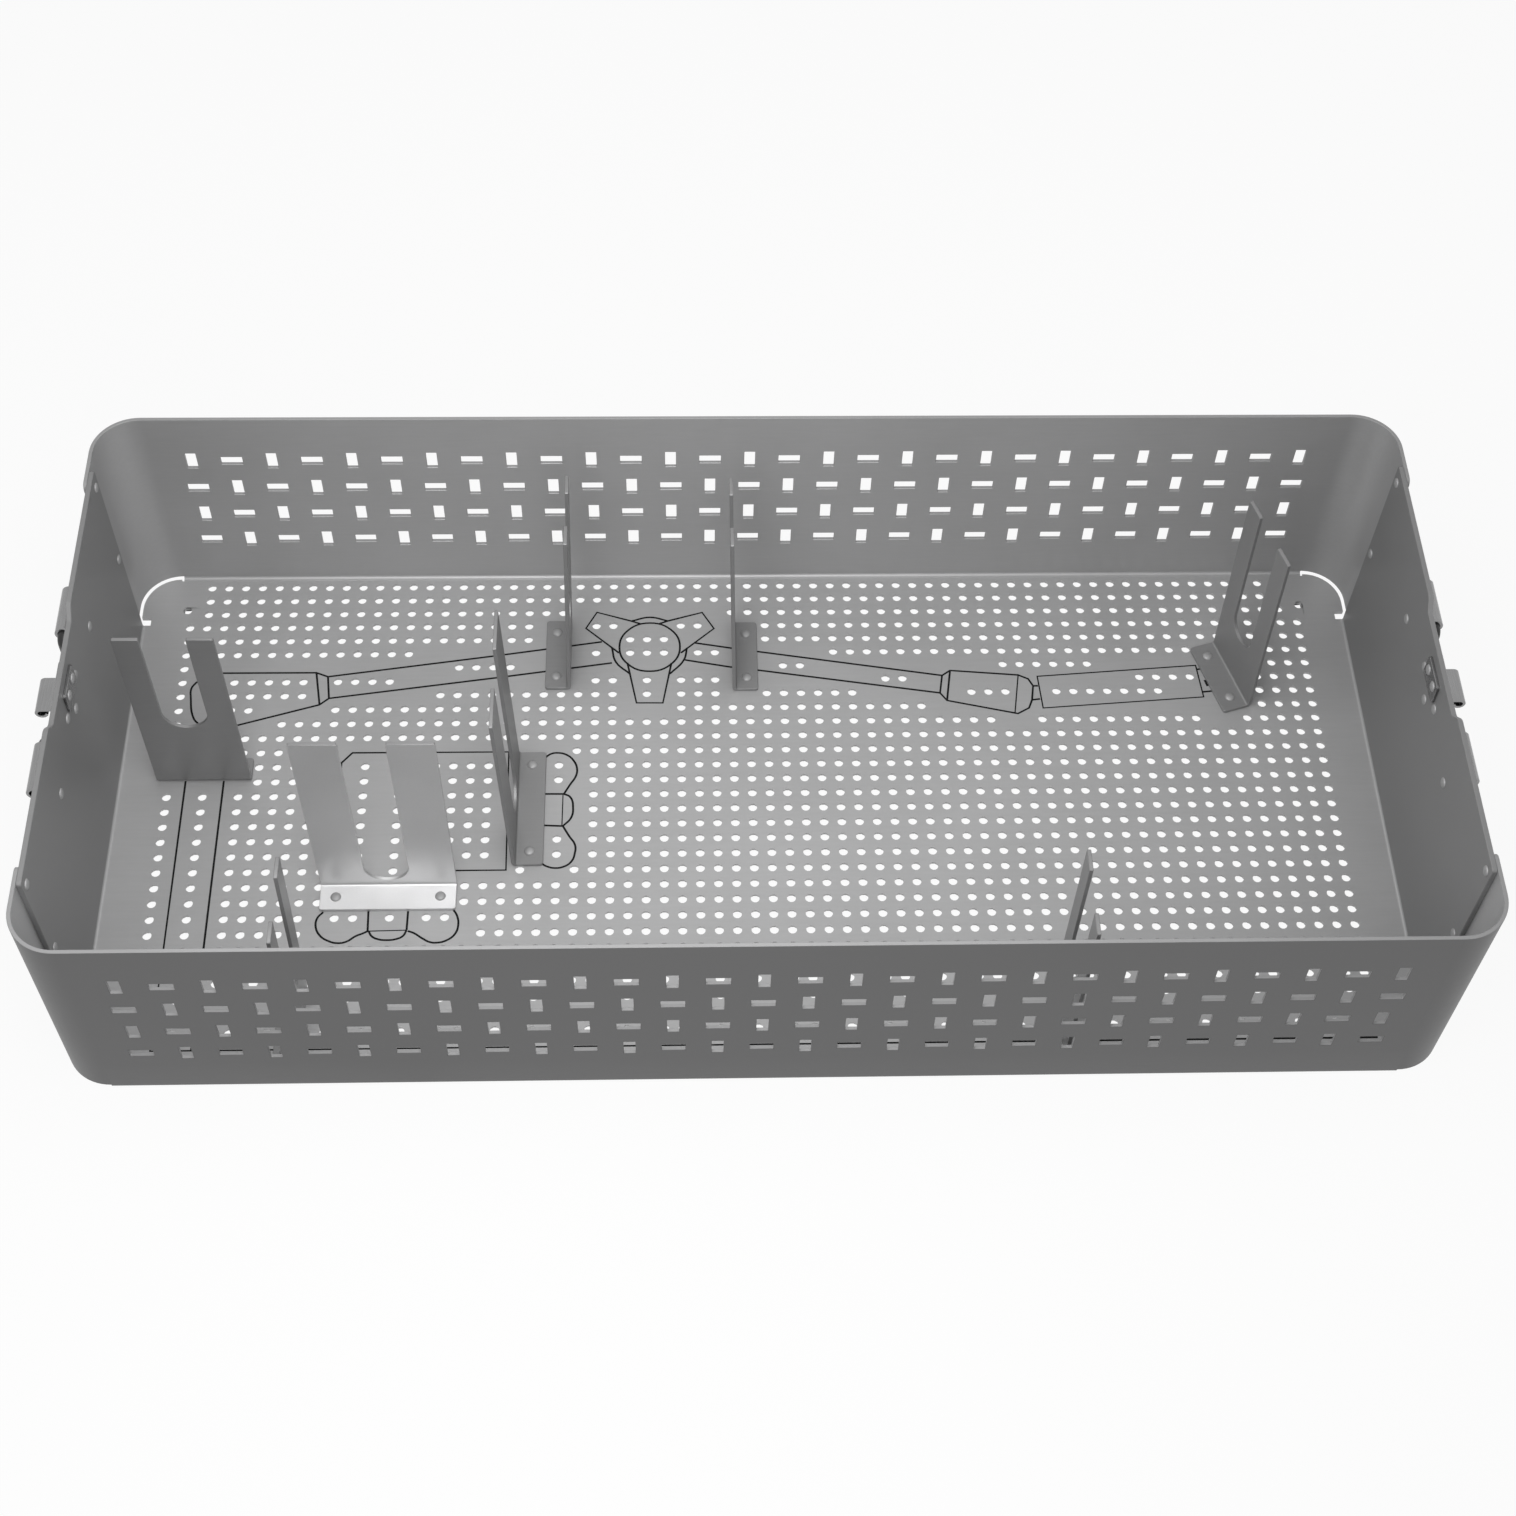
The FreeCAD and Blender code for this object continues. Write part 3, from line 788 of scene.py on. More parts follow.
@dataclass
class PerforatedPan:
    """The floor sheet with its grid of round holes and its two folded-up ends."""

    body: Envelope
    finishes: Finishes
    feet: Sequence["Fork"]
    pitch: float = 7.5
    hole: float = 1.88
    breakout: float = 0.6
    columns: int = 67
    rows: int = 33
    clear_of_line: float = 3.3
    drain_gap: float = 1.0
    fold: float = 3.0
    relief_depth: float = 5.2
    relief_width: float = 4.4
    notch_half: float = 30.0
    notch_depth: float = 4.9
    notch_slope: float = 4.6
    notch_round: float = 1.5
    drain: tuple[int, int] = (33, 14)
    drain_shift: Point = (2.0, 2.2)
    drain_hole: float = 1.9
    lip: float = 0.4
    ledge: float = 0.5

    def bore(self, place: Vector) -> tuple[Vector, float]:
        """Return the centre and radius of the hole in a cell of the grid."""
        column, row = round(place.x / self.pitch), round(place.y / self.pitch)
        if (abs(column), abs(row)) != self.drain:
            return place, self.hole
        across, along = (math.copysign(s, v) for s, v in zip(self.drain_shift, place))
        return place + Vector((across, along, 0)), self.drain_hole

    def is_drilled(self, x: float, y: float) -> bool:
        """Return whether the sheet has a hole at a place of the grid."""
        column, row = round(x / self.pitch), round(-y / self.pitch)
        if (column, row) in DRILLED or (abs(column), abs(row)) == self.drain:
            return True
        if abs(row) >= 14 and abs(column) > 32:
            return False
        if row == 15 or (column, row) in PLAIN:
            return False
        if any(foot.covers(x, y) for foot in self.feet):
            return False
        for outline in OUTLINES:
            ends = outline.points[1:] + (outline.points[:1] if outline.closed else ())
            for start, end in zip(outline.points, ends):
                if gap((x, y), start, end) < self.clear_of_line:
                    return False
        return True

    def drill(self, mesh: bmesh.types.BMesh) -> None:
        """Lay out the floor's grid and cut its holes."""
        half_x, half_y = self.columns * self.pitch / 2, self.rows * self.pitch / 2
        bmesh.ops.create_grid(
            mesh,
            x_segments=self.columns,
            y_segments=self.rows,
            size=1.0,
            matrix=Matrix.Diagonal((half_x, half_y, 1.0, 1.0)),
        )
        bmesh.ops.reverse_faces(mesh, faces=mesh.faces)
        cells = [f for f in mesh.faces if self.is_drilled(*f.calc_center_median().xy)]
        inset = self.pitch / 2 - self.hole * 0.8
        bmesh.ops.inset_individual(mesh, faces=cells, thickness=inset)
        rims = {e for f in cells for e in f.edges}
        bmesh.ops.subdivide_edges(mesh, edges=list(rims), cuts=2)
        for cell in cells:
            middle = cell.calc_center_median()
            centre, radius = self.bore(middle)
            for vert in cell.verts:
                away = vert.co - middle
                slice_ = math.floor(math.atan2(away.y, away.x) / math.radians(30))
                angle = math.radians(30 * slice_ + 15)
                vert.co = centre + Vector((math.cos(angle), math.sin(angle), 0)) * radius
        bmesh.ops.delete(mesh, geom=cells, context="FACES_ONLY")

    def add_margins(self, mesh: bmesh.types.BMesh) -> None:
        """Add the plain sheet round the drilled field."""
        half_x, half_y = self.columns * self.pitch / 2, self.rows * self.pitch / 2
        near = self.body.flap - (self.body.flap - half_y) % self.pitch
        bend = self.body.end_face - self.fold
        for side in (-1, 1):
            edges = boundary(mesh, lambda co: abs(co.y - side * half_y) < TOUCH)
            pull(mesh, edges, (0, side * (self.body.seam - half_y), 0))
        for side in (-1, 1):
            edges = boundary(
                mesh, lambda co: abs(co.x - side * half_x) < TOUCH and abs(co.y) < near + TOUCH
            )
            edges = pull(mesh, edges, (side * (bend - half_x - self.lip), 0, 0))
            pull(mesh, edges, (side * self.lip, 0, 0))
            for across in (-1, 1):
                self.add_corner(mesh, side, across, near)

    def add_corner(self, mesh: bmesh.types.BMesh, side: int, across: int, near: float) -> None:
        """Add one corner of the floor, which leaves a drain gap inside the rolled wall.

        Args:
            mesh: The floor.
            side: -1 at the left end, 1 at the right end.
            across: -1 at the front, 1 at the back.
            near: Distance from the middle of the last row that meets the end flap.
        """
        half_x, half_y = self.columns * self.pitch / 2, self.rows * self.pitch / 2
        bend = self.body.end_face - self.fold
        relief = self.body.end_face - self.relief_depth
        slit = self.body.flap + self.relief_width
        reach = self.body.corner_radius - self.body.wall_sheet - self.drain_gap
        far_x, far_y = (c + reach for c in self.body.corner)
        beside = self.body.corner[0] + self.drain_gap
        points = [
            (half_x, near), (bend - self.lip, near), (bend, near), (bend, self.body.flap),
            (relief, self.body.flap), (relief, slit), (far_x, slit), (far_x, far_y),
            (beside, far_y), (beside, self.body.seam), (half_x, self.body.seam),
        ]
        rows = math.floor((half_y - near) / self.pitch + 0.5)
        points += [(half_x, half_y - step * self.pitch) for step in range(rows)]
        pen = Pen(mesh, (side * points[0][0], across * points[0][1], 0))
        pen.to(*[(side * x, across * y, 0) for x, y in points[1:]])
        face = pen.fill()
        if face.normal.z > 0:
            face.normal_flip()
        bmesh.ops.remove_doubles(mesh, verts=mesh.verts, dist=0.001)
        round_corners(
            mesh,
            lambda co: (co - Vector((side * far_x, across * far_y, 0))).length < TOUCH,
            reach,
            10,
        )

    def fold_ends(self, mesh: bmesh.types.BMesh) -> None:
        """Fold up the two end flaps and cut the lowered middle of their rims."""
        bend = self.body.end_face - self.fold
        for side in (-1, 1):
            edges = boundary(
                mesh,
                lambda co: abs(co.x - side * bend) < TOUCH and abs(co.y) < self.body.flap + TOUCH,
            )
            edges = roll(mesh, edges, (side * bend, 0, self.fold), (0, -side, 0), 90, 6)
            edges = pull(mesh, edges, (0, 0, self.ledge))
            pull(mesh, edges, (0, 0, self.body.rim - self.fold - self.ledge))
        low = self.body.rim - self.notch_depth
        above = self.fold + self.ledge + TOUCH
        for place in (self.notch_half, -self.notch_half):
            self.score(mesh, (0, 1, 0), (0, place, 0), above)
        self.score(mesh, (0, 0, 1), (0, 0, low), above)
        notch = [
            f
            for f in mesh.faces
            if f.calc_center_median().z > low and abs(f.calc_center_median().y) < self.notch_half
        ]
        bmesh.ops.delete(mesh, geom=notch, context="FACES")
        bmesh.ops.dissolve_limit(
            mesh,
            angle_limit=0.01,
            verts=[v for v in mesh.verts if v.co.z > above],
            edges=[e for e in mesh.edges if max(v.co.z for v in e.verts) > above],
        )
        for vert in mesh.verts:
            if abs(vert.co.z - low) < TOUCH and abs(vert.co.y) < self.notch_half + TOUCH:
                vert.co.y -= math.copysign(self.notch_slope, vert.co.y)
        round_corners(
            mesh,
            lambda co: co.z > low - TOUCH
            and (abs(co.y) < self.notch_half + TOUCH or co.z > self.body.rim - TOUCH),
            self.notch_round,
            3,
        )

    def open_undersides(self, mesh: bmesh.types.BMesh) -> None:
        """Widen the holes underneath, where the punch broke out."""
        for vert in mesh.verts:
            if vert.co.z > TOUCH:
                continue
            x, y = (round(v / self.pitch) * self.pitch for v in vert.co.xy)
            away = Vector((vert.co.x - x, vert.co.y - y))
            if abs(away.length - self.hole) < 0.02:
                vert.co.xy += away * (self.breakout / self.hole)

    @staticmethod
    def score(
        mesh: bmesh.types.BMesh, normal: Sequence[float], place: Sequence[float], above: float
    ) -> None:
        """Cut the faces of the flaps along a plane.

        Args:
            mesh: The floor with its flaps.
            normal: Normal of the plane.
            place: A point of the plane.
            above: Only what lies above this height is cut.
        """
        faces = [f for f in mesh.faces if f.calc_center_median().z > above]
        parts = {e for f in faces for e in f.edges} | {v for f in faces for v in f.verts}
        bmesh.ops.bisect_plane(
            mesh, geom=faces + list(parts), dist=0.001, plane_co=place, plane_no=normal
        )

    def build(self) -> None:
        """Make the floor sheet."""
        mesh = bmesh.new()
        self.drill(mesh)
        self.add_margins(mesh)
        self.fold_ends(mesh)
        thicken(mesh, self.body.pan_sheet)
        self.open_undersides(mesh)
        break_edges(mesh, 0.25, lambda co: co.z > self.body.pan_sheet + 0.1)
        # Faces above the fold, the end flaps, take the darker copy of the floor's finish: painted
        # shade
        for face in mesh.faces:
            face.material_index = 1 if face.calc_center_median().z > self.fold else 0
        materials = [self.finishes.pan, self.finishes.flap]
        to_piece(mesh, "perforated_pan", materials, ["base_pan"], smooth=35.0)


@dataclass
class FloorPrint:
    """The instrument outlines printed on the floor."""

    finishes: Finishes
    level: float = 2.0
    height: float = 0.03

    def build(self) -> None:
        """Make all the printed lines as one thin piece."""
        curve = bpy.data.curves.new("outline_strokes", "CURVE")
        curve.dimensions = "3D"
        curve.bevel_depth = 1.0
        curve.bevel_resolution = 0
        curve.use_fill_caps = True
        curve.resolution_u = 6
        for outline in OUTLINES:
            spline = curve.splines.new(outline.stroke.value)
            smooth = outline.stroke is Stroke.SMOOTH
            points = spline.bezier_points if smooth else spline.points
            points.add(len(outline.points) - 1)
            for knot, (x, y) in zip(points, outline.points):
                knot.co = (x, y, 0) if smooth else (x, y, 0, 1)
                knot.radius = outline.width / 2
                if smooth:
                    knot.handle_left_type = knot.handle_right_type = "AUTO"
            spline.use_cyclic_u = outline.closed
        strokes = bpy.data.objects.new("outline_strokes", curve)
        bpy.context.scene.collection.objects.link(strokes)
        bpy.context.view_layer.update()
        graph = bpy.context.evaluated_depsgraph_get()
        drawn = bpy.data.meshes.new_from_object(strokes.evaluated_get(graph))
        mesh = bmesh.new()
        mesh.from_mesh(drawn)
        bpy.data.objects.remove(strokes)
        for vert in mesh.verts:
            vert.co.z = self.level + (self.height if vert.co.z > 0 else 0.002)
        to_piece(mesh, "floor_print", [self.finishes.ink])


@dataclass
class SlottedWall:
    """A long wall: sheet with a basket weave of slots, rolled corners and end tabs."""

    name: str
    turned: bool
    body: Envelope
    finishes: Finishes
    pitch: float = 16.875
    rise: float = 17.1
    long: float = 9.2
    short: float = 4.6
    lowest: float = 29.2
    columns: int = 29
    rows: int = 4
    lift: float = 3.0
    fold: float = 3.0
    lip: float = 0.5
    tab_round: float = 3.0

    def punch(self, mesh: bmesh.types.BMesh) -> None:
        """Lay out the wall's grid and cut its slots, upright and lying in turn."""
        half_x, half_z = self.columns * self.pitch / 2, self.rows * self.rise / 2
        middle = self.lowest + (self.rows - 1) * self.rise / 2
        frame = Matrix.Translation((0, self.body.half_width, middle))
        frame @= Matrix.Rotation(math.radians(-90), 4, "X")
        frame @= Matrix.Diagonal((half_x, half_z, 1.0, 1.0))
        bmesh.ops.create_grid(
            mesh, x_segments=self.columns, y_segments=self.rows, size=1.0, matrix=frame
        )
        cells = list(mesh.faces)
        bmesh.ops.inset_individual(mesh, faces=cells, thickness=1.0)
        for cell in cells:
            centre = cell.calc_center_median()
            column = round(centre.x / self.pitch) + self.columns // 2
            row = round((centre.z - self.lowest) / self.rise)
            size = (self.long, self.short)
            if (column + row) % 2 == 1:
                size = (self.short, self.long)
            for vert in cell.verts:
                away = vert.co - centre
                vert.co.x = centre.x + math.copysign(size[0] / 2, away.x)
                vert.co.z = centre.z + math.copysign(size[1] / 2, away.z)
        bmesh.ops.delete(mesh, geom=cells, context="FACES_ONLY")

    def add_borders(self, mesh: bmesh.types.BMesh) -> None:
        """Add the plain sheet round the slots, roll the corners and add the tabs."""
        half_x = self.columns * self.pitch / 2
        low = self.lowest - self.rise / 2
        high = low + self.rows * self.rise
        edges = boundary(mesh, lambda co: abs(co.z - high) < TOUCH)
        pull(mesh, edges, (0, 0, self.body.rim - high))
        edges = boundary(mesh, lambda co: abs(co.z - low) < TOUCH)
        pull(mesh, edges, (0, 0, self.lift - low))
        corner_x, corner_y = self.body.corner
        for side in (-1, 1):
            edges = boundary(mesh, lambda co: abs(co.x - side * half_x) < TOUCH)
            edges = pull(mesh, edges, (side * (corner_x - half_x - self.lip), 0, 0))
            edges = pull(mesh, edges, (side * self.lip, 0, 0))
            centre = (side * corner_x, corner_y, 0)
            edges = roll(mesh, edges, centre, (0, 0, -side), 90, 16)
            edges = pull(mesh, edges, (0, -self.lip, 0))
            pull(mesh, edges, (0, self.lip - self.body.tab_length, 0))
        edges = boundary(
            mesh,
            lambda co: abs(co.z - self.lift) < TOUCH
            and abs(co.x) < corner_x + TOUCH
            and co.y > self.body.half_width - TOUCH,
        )
        centre = (0, self.body.half_width - self.fold, self.fold)
        edges = roll(mesh, edges, centre, (-1, 0, 0), 90, 6)
        pull(mesh, edges, (0, self.body.seam - centre[1], 0))
        round_corners(
            mesh,
            lambda co: abs(co.y - self.body.tab_end) < TOUCH
            and (abs(co.z - self.lift) < TOUCH or abs(co.z - self.body.rim) < TOUCH),
            self.tab_round,
        )

    def level_foot(self, mesh: bmesh.types.BMesh) -> None:
        """Bring the inside of the fold up to the level of the floor sheet."""
        low, high = self.body.wall_sheet - TOUCH, self.fold - TOUCH
        for vert in mesh.verts:
            inside = vert.co.y < self.body.half_width - self.body.wall_sheet + TOUCH
            if inside and low < vert.co.z < high and abs(vert.co.x) < self.body.corner[0] + TOUCH:
                vert.co.z += self.body.pan_sheet - self.body.wall_sheet

    def build(self) -> None:
        """Make the wall."""
        mesh = bmesh.new()
        self.punch(mesh)
        self.add_borders(mesh)
        thicken(mesh, self.body.wall_sheet)
        self.level_foot(mesh)
        break_edges(mesh, 0.15)
        # Material 2, the cut edges and the rim top, is a darker copy of the wall's sheet: painted
        # shade
        for face in mesh.faces:
            face.material_index = self.side_of(face)
        if self.turned:
            mesh.transform(Matrix.Rotation(math.pi, 4, "Z"))
        # Material 1, the outer faces, is a darker copy of the wall's sheet: painted shade
        materials = [self.finishes.wall, self.finishes.wall_outside, self.finishes.cut_edge]
        to_piece(mesh, self.name + "_sheet", materials, [self.name])

    def side_of(self, face: bmesh.types.BMFace) -> int:
        """Return 0 for a face inside the wall, 1 outside and 2 on a cut edge or the rim top; 1 and
        2 carry painted shade.
        """
        centre = face.calc_center_median()
        corner_x, corner_y = self.body.corner
        away = Vector((max(0.0, abs(centre.x) - corner_x), max(0.0, centre.y - corner_y)))
        middle = self.body.corner_radius - self.body.wall_sheet / 2
        punched = self.lowest - self.long < centre.z and abs(away.length - middle) < 0.6
        if punched or centre.z > self.body.rim - 0.2:
            return 2
        return 1 if away.length > middle else 0


# The forks.


@dataclass
class Fork:
    """An upright fork: bent sheet with a round-bottomed slot and a riveted foot."""

    name: str
    x: float
    y: float
    turn: float
    lean: float
    width: float
    height: float
    slot: float
    slot_floor: float
    foot: float
    # True gives the fork the lighter copy of its finish below the top cut edge: painted light
    bright: bool = False
    sheet: float = 1.5
    bend: float = 1.0
    rivet_inset: float = 6.5
    level: float = 2.0

    @property
    def frame(self) -> Matrix:
        """Return where the fork's own frame stands on the floor."""
        turn = Matrix.Rotation(math.radians(self.turn), 4, "Z")
        return Matrix.Translation((self.x, self.y, self.level)) @ turn

    @property
    def rivets(self) -> list[Matrix]:
        """Return where the heads of its two rivets sit."""
        along = (self.sheet + self.foot) / 2
        across = self.width / 2 - self.rivet_inset
        return [
            self.frame @ Matrix.Translation((along, side * across, self.sheet))
            for side in (-1, 1)
        ]

    def covers(self, x: float, y: float) -> bool:
        """Return whether the foot lies on a place of the floor."""
        near = self.frame.inverted() @ Vector((x, y, self.level))
        return -1.0 < near.x < self.foot + 1.0 and abs(near.y) < self.width / 2 + 1.0

    def build(self, finishes: Finishes) -> None:
        """Make the fork.

        Args:
            finishes: The basket's materials.
        """
        mesh = bmesh.new()
        outer = self.sheet + self.bend
        half, arm = self.slot / 2, self.width / 2
        shoulder = self.slot_floor + half
        pen = Pen(mesh, (0, -half, shoulder))
        pen.arc((0, 0, shoulder), (1, 0, 0), 180, 20)
        pen.to(
            (0, half, self.height), (0, arm, self.height), (0, arm, outer), (0, -arm, outer),
            (0, -arm, self.height), (0, -half, self.height),
        )
        face = pen.fill()
        if face.normal.x > 0:
            face.normal_flip()
        edges = boundary(mesh, lambda co: abs(co.z - outer) < TOUCH)
        edges = roll(mesh, edges, (outer, 0, outer), (0, -1, 0), 90 - self.lean, 6)
        tip = Matrix.Rotation(math.radians(-self.lean), 4, "Y")
        pull(mesh, edges, tip.inverted() @ Vector((self.foot - outer, 0, 0)))
        round_corners(mesh, lambda co: abs(co.z - self.height) < TOUCH, 0.8, 3)
        mesh.transform(tip)
        end = max(v.co.x for v in mesh.verts if v.co.z < outer)
        round_corners(mesh, lambda co: abs(co.x - end) < TOUCH, 1.2, 3)
        thicken(mesh, self.sheet)
        break_edges(mesh, 0.15)
        bend = Vector((outer, 0, outer))
        mesh.transform(self.frame @ Matrix.Translation(bend - tip @ bend))
        # On a painted-light fork every face below the top cut edge takes the lighter copy of the
        # finish: painted light
        for face in mesh.faces:
            cut = face.calc_center_median().z > self.level + self.height - 0.3
            face.material_index = 1 if self.bright and not cut else 0
        materials = [finishes.fork, finishes.bright_fork]
        to_piece(mesh, self.name + "_sheet", materials, [self.name])


FORKS: tuple[Fork, ...] = (
    Fork("fork_grip_rear", -232.2, 15.15, 90.0, 0.0, 39.8, 99.0, 18.4, 40.1, 11.2),
    # fork_grip_front carries the painted light of the lighter fork finish
    Fork("fork_grip_front", -150.9, -35.8, -90.0, 0.0, 55.8, 102.0, 18.4, 4.7, 13.5, True),
    Fork("fork_collar", -100.9, 0.0, 0.0, 1.4, 56.6, 100.0, 18.4, 4.7, 13.0),
    Fork("fork_shaft_left", -78.2, 80.75, 180.0, 1.6, 37.0, 99.5, 17.0, 25.5, 11.2),
    Fork("fork_shaft_right", -7.5, 79.5, 0.0, 1.2, 37.0, 99.5, 17.0, 25.5, 11.2),
    Fork("fork_head_angled", 214.35, 68.4, 197.0, -1.6, 36.5, 98.5, 16.5, 25.5, 13.0),
    Fork("fork_front_left", -180.3, -102.6, 180.0, 1.6, 37.0, 98.5, 18.0, 25.5, 11.2),
    Fork("fork_front_right", 120.4, -102.6, 0.0, 0.0, 37.0, 98.5, 18.0, 25.5, 11.2),
)


# Rivets.


@dataclass
class RivetGroup:
    """Rivets of one kind, with domed heads and flat formed ends."""

    name: str
    heads: Sequence[Matrix]
    tails: Sequence[Matrix] = ()
    head_radius: float = 2.2
    head_rise: float = 0.9
    tail_radius: float = 1.9
    tail_rise: float = 0.6

    def add_head(self, mesh: bmesh.types.BMesh, place: Matrix) -> None:
        """Add one domed head, flat side on the sheet."""
        made = bmesh.ops.create_uvsphere(
            mesh, u_segments=24, v_segments=12, radius=self.head_radius
        )["verts"]
        low = [v for v in made if v.co.z < -0.01]
        bmesh.ops.delete(mesh, geom=low, context="VERTS")
        made = [v for v in made if v.is_valid]
        for vert in made:
            vert.co.z *= self.head_rise / self.head_radius
        rim = [e for v in made for e in v.link_edges if e.is_boundary]
        bmesh.ops.contextual_create(mesh, geom=list(set(rim)))
        bmesh.ops.transform(mesh, matrix=place, verts=made)

    def add_tail(self, mesh: bmesh.types.BMesh, place: Matrix) -> None:
        """Add one formed end with a turned-down edge."""
        made = bmesh.ops.create_cone(
            mesh,
            cap_ends=True,
            segments=24,
            radius1=self.tail_radius,
            radius2=self.tail_radius * 0.9,
            depth=self.tail_rise,
            matrix=Matrix.Translation((0, 0, self.tail_rise / 2)),
        )["verts"]
        top = [e for v in made for e in v.link_edges if min(u.co.z for u in e.verts) > TOUCH]
        bevel = bmesh.ops.bevel(
            mesh,
            geom=list(set(top)),
            offset=0.2,
            segments=2,
            profile=0.5,
            affect="EDGES",
            material=-1,
        )
        made = {v for v in made if v.is_valid} | set(bevel["verts"])
        bmesh.ops.transform(mesh, matrix=place, verts=list(made))

    def build(self, finishes: Finishes) -> None:
        """Make the group as one piece.

        Args:
            finishes: The basket's materials.
        """
        mesh = bmesh.new()
        for place in self.heads:
            self.add_head(mesh, place)
        for place in self.tails:
            self.add_tail(mesh, place)
        bmesh.ops.recalc_face_normals(mesh, faces=mesh.faces)
        to_piece(mesh, self.name + "_heads", [finishes.rivet], [self.name], smooth=50.0)


def facing(side: int, x: float, y: float, z: float) -> Matrix:
    """Return a place on an end sheet.

    Args:
        side: The way that the place faces along X, -1 or 1.
        x: Distance of the sheet's face.
        y: Place across the end.
        z: Height.

    Returns:
        The frame of the place, whose Z points out of the sheet.
    """
    return Matrix.Translation((x, y, z)) @ Matrix.Rotation(math.radians(90 * side), 4, "Y")


# The hardware on the ends.


@dataclass
class EndHardware:
    """Knuckles, bail and lid catch on one end of the basket."""

    end: End
    body: Envelope
    finishes: Finishes
    sheet: float = 1.2
    wire: float = 2.4
    bore: float = 2.45
    pivot_drop: float = 16.4
    knuckle_inner: float = 27.0
    knuckle_length: float = 21.75
    knuckle_plate: float = 18.5
    knuckle_rivet: Point = (13.5, 12.1)
    pin_depth: float = 18.0
    wire_bend: float = 2.6
    leg_inset: float = 2.8
    leg_length: float = 25.5
    flare_height: float = 16.0
    flare_width: float = 21.0
    grip_drop: float = 11.0
    catch_half: float = 14.0
    catch_neck: float = 8.25
    catch_top_drop: float = 7.9
    catch_neck_height: float = 8.5
    catch_height: float = 18.0
    catch_corner: float = 5.0
    tongue_half: float = 7.8
    tongue_drop: float = 18.9
    tongue_reach: float = 8.6
    curl: float = 2.6
    curl_sweep: float = 260.0
    backing_drop: float = 10.1
    backing_height: float = 10.5
    knuckle_sweep: float = 325.0
    corner_rivet: Point = (4.8, 6.4)
    corner_rivet_spacing: float = 46.1
    plate_rivet_inset: float = 3.5
    plate_rivet_drops: Point = (21.0, 28.9)
    neck_rivet: Point = (4.1, 14.4)

    @property
    def label(self) -> str:
        """Return the end's name in the names of its pieces."""
        return self.end.name.lower()

    @property
    def pivot(self) -> Vector:
        """Return the bail's axis at the right end."""
        return Vector(
            (self.body.end_face + self.bore + self.sheet, 0, self.body.rim - self.pivot_drop)
        )

    def to_end(self, mesh: bmesh.types.BMesh, back: bool = True) -> None:
        """Mirror a piece made at the right rear to where it belongs.

        Args:
            mesh: The piece.
            back: Whether it stays in the back half.
        """
        scale = Vector((self.end.value, 1 if back else -1, 1))
        bmesh.ops.scale(mesh, vec=scale, verts=mesh.verts)
        bmesh.ops.recalc_face_normals(mesh, faces=mesh.faces)

    def build_knuckle(self, back: bool) -> None:
        """Make one rolled bracket.

        Args:
            back: Whether it is the one in the back half.
        """
        mesh = bmesh.new()
        near, pivot = self.body.end_face, self.pivot
        foot = pivot.z - self.knuckle_plate
        start = self.knuckle_inner
        pen = Pen(mesh, (near, start, foot))
        pen.to((near, start, pivot.z - 0.4), (near, start, pivot.z))
        pen.arc((pivot.x, start, pivot.z), (0, 1, 0), self.knuckle_sweep, 30)
        edges = pull(mesh, pen.drawn, (0, self.knuckle_length, 0))
        bmesh.ops.recalc_face_normals(mesh, faces=mesh.faces)
        plate = next(f for f in mesh.faces if abs(f.calc_center_median().x - near) < 0.005)
        if plate.normal.x > 0:
            bmesh.ops.reverse_faces(mesh, faces=mesh.faces)
        round_corners(mesh, lambda co: abs(co.z - foot) < TOUCH, 1.5, 4)
        thicken(mesh, self.sheet)
        break_edges(mesh, 0.12)
        self.to_end(mesh, back)
        name = "knuckle_%s_%s" % (self.label, "rear" if back else "front")
        to_piece(mesh, name + "_strip", [self.finishes.steel], [name])

    def build_bail(self) -> None:
        """Make the drop handle of coated wire."""
        mesh = bmesh.new()
        pivot, bend = self.pivot, self.wire_bend
        pin = self.knuckle_inner + self.pin_depth
        leg = self.knuckle_inner - self.leg_inset
        grip = leg + self.flare_width
        flare = pivot.z - self.leg_length
        wide = flare - self.flare_height
        low = wide - self.grip_drop
        corners = [(pin, pivot.z), (leg, pivot.z), (leg, flare), (grip, wide), (grip, low)]
        corners += [(-y, z) for y, z in reversed(corners)]
        route = [Vector((pivot.x, y, z)) for y, z in corners]
        ring = bmesh.ops.create_circle(
            mesh,
            cap_ends=False,
            segments=24,
            radius=self.wire,
            matrix=Matrix.Translation(route[0]) @ Matrix.Rotation(math.radians(90), 4, "X"),
        )["verts"]
        edges = list({e for v in ring for e in v.link_edges})
        at = route[0]
        for before, corner, after in zip(route, route[1:], route[2:]):
            ahead, onward = (corner - before).normalized(), (after - corner).normalized()
            turn = ahead.angle(onward)
            cut = bend * math.tan(turn / 2)
            edges = pull(mesh, edges, corner - ahead * cut - at)
            axis = ahead.cross(onward).normalized()
            centre = corner - ahead * cut + axis.cross(ahead) * bend
            edges = roll(mesh, edges, centre, axis, math.degrees(turn), 10)
            at = corner + onward * cut
        pull(mesh, edges, route[-1] - at)
        for sign in (-1, 1):
            rim = boundary(mesh, lambda co: co.y * sign > pin - TOUCH)
            bmesh.ops.contextual_create(mesh, geom=rim)
        bmesh.ops.recalc_face_normals(mesh, faces=mesh.faces)
        break_edges(mesh, 0.3, lambda co: abs(co.y) > pin - TOUCH)
        self.to_end(mesh)
        name = "handle_" + self.label
        body = "bail_" + self.label
        to_piece(mesh, name + "_wire", [self.finishes.wire], [name], body, 40.0)

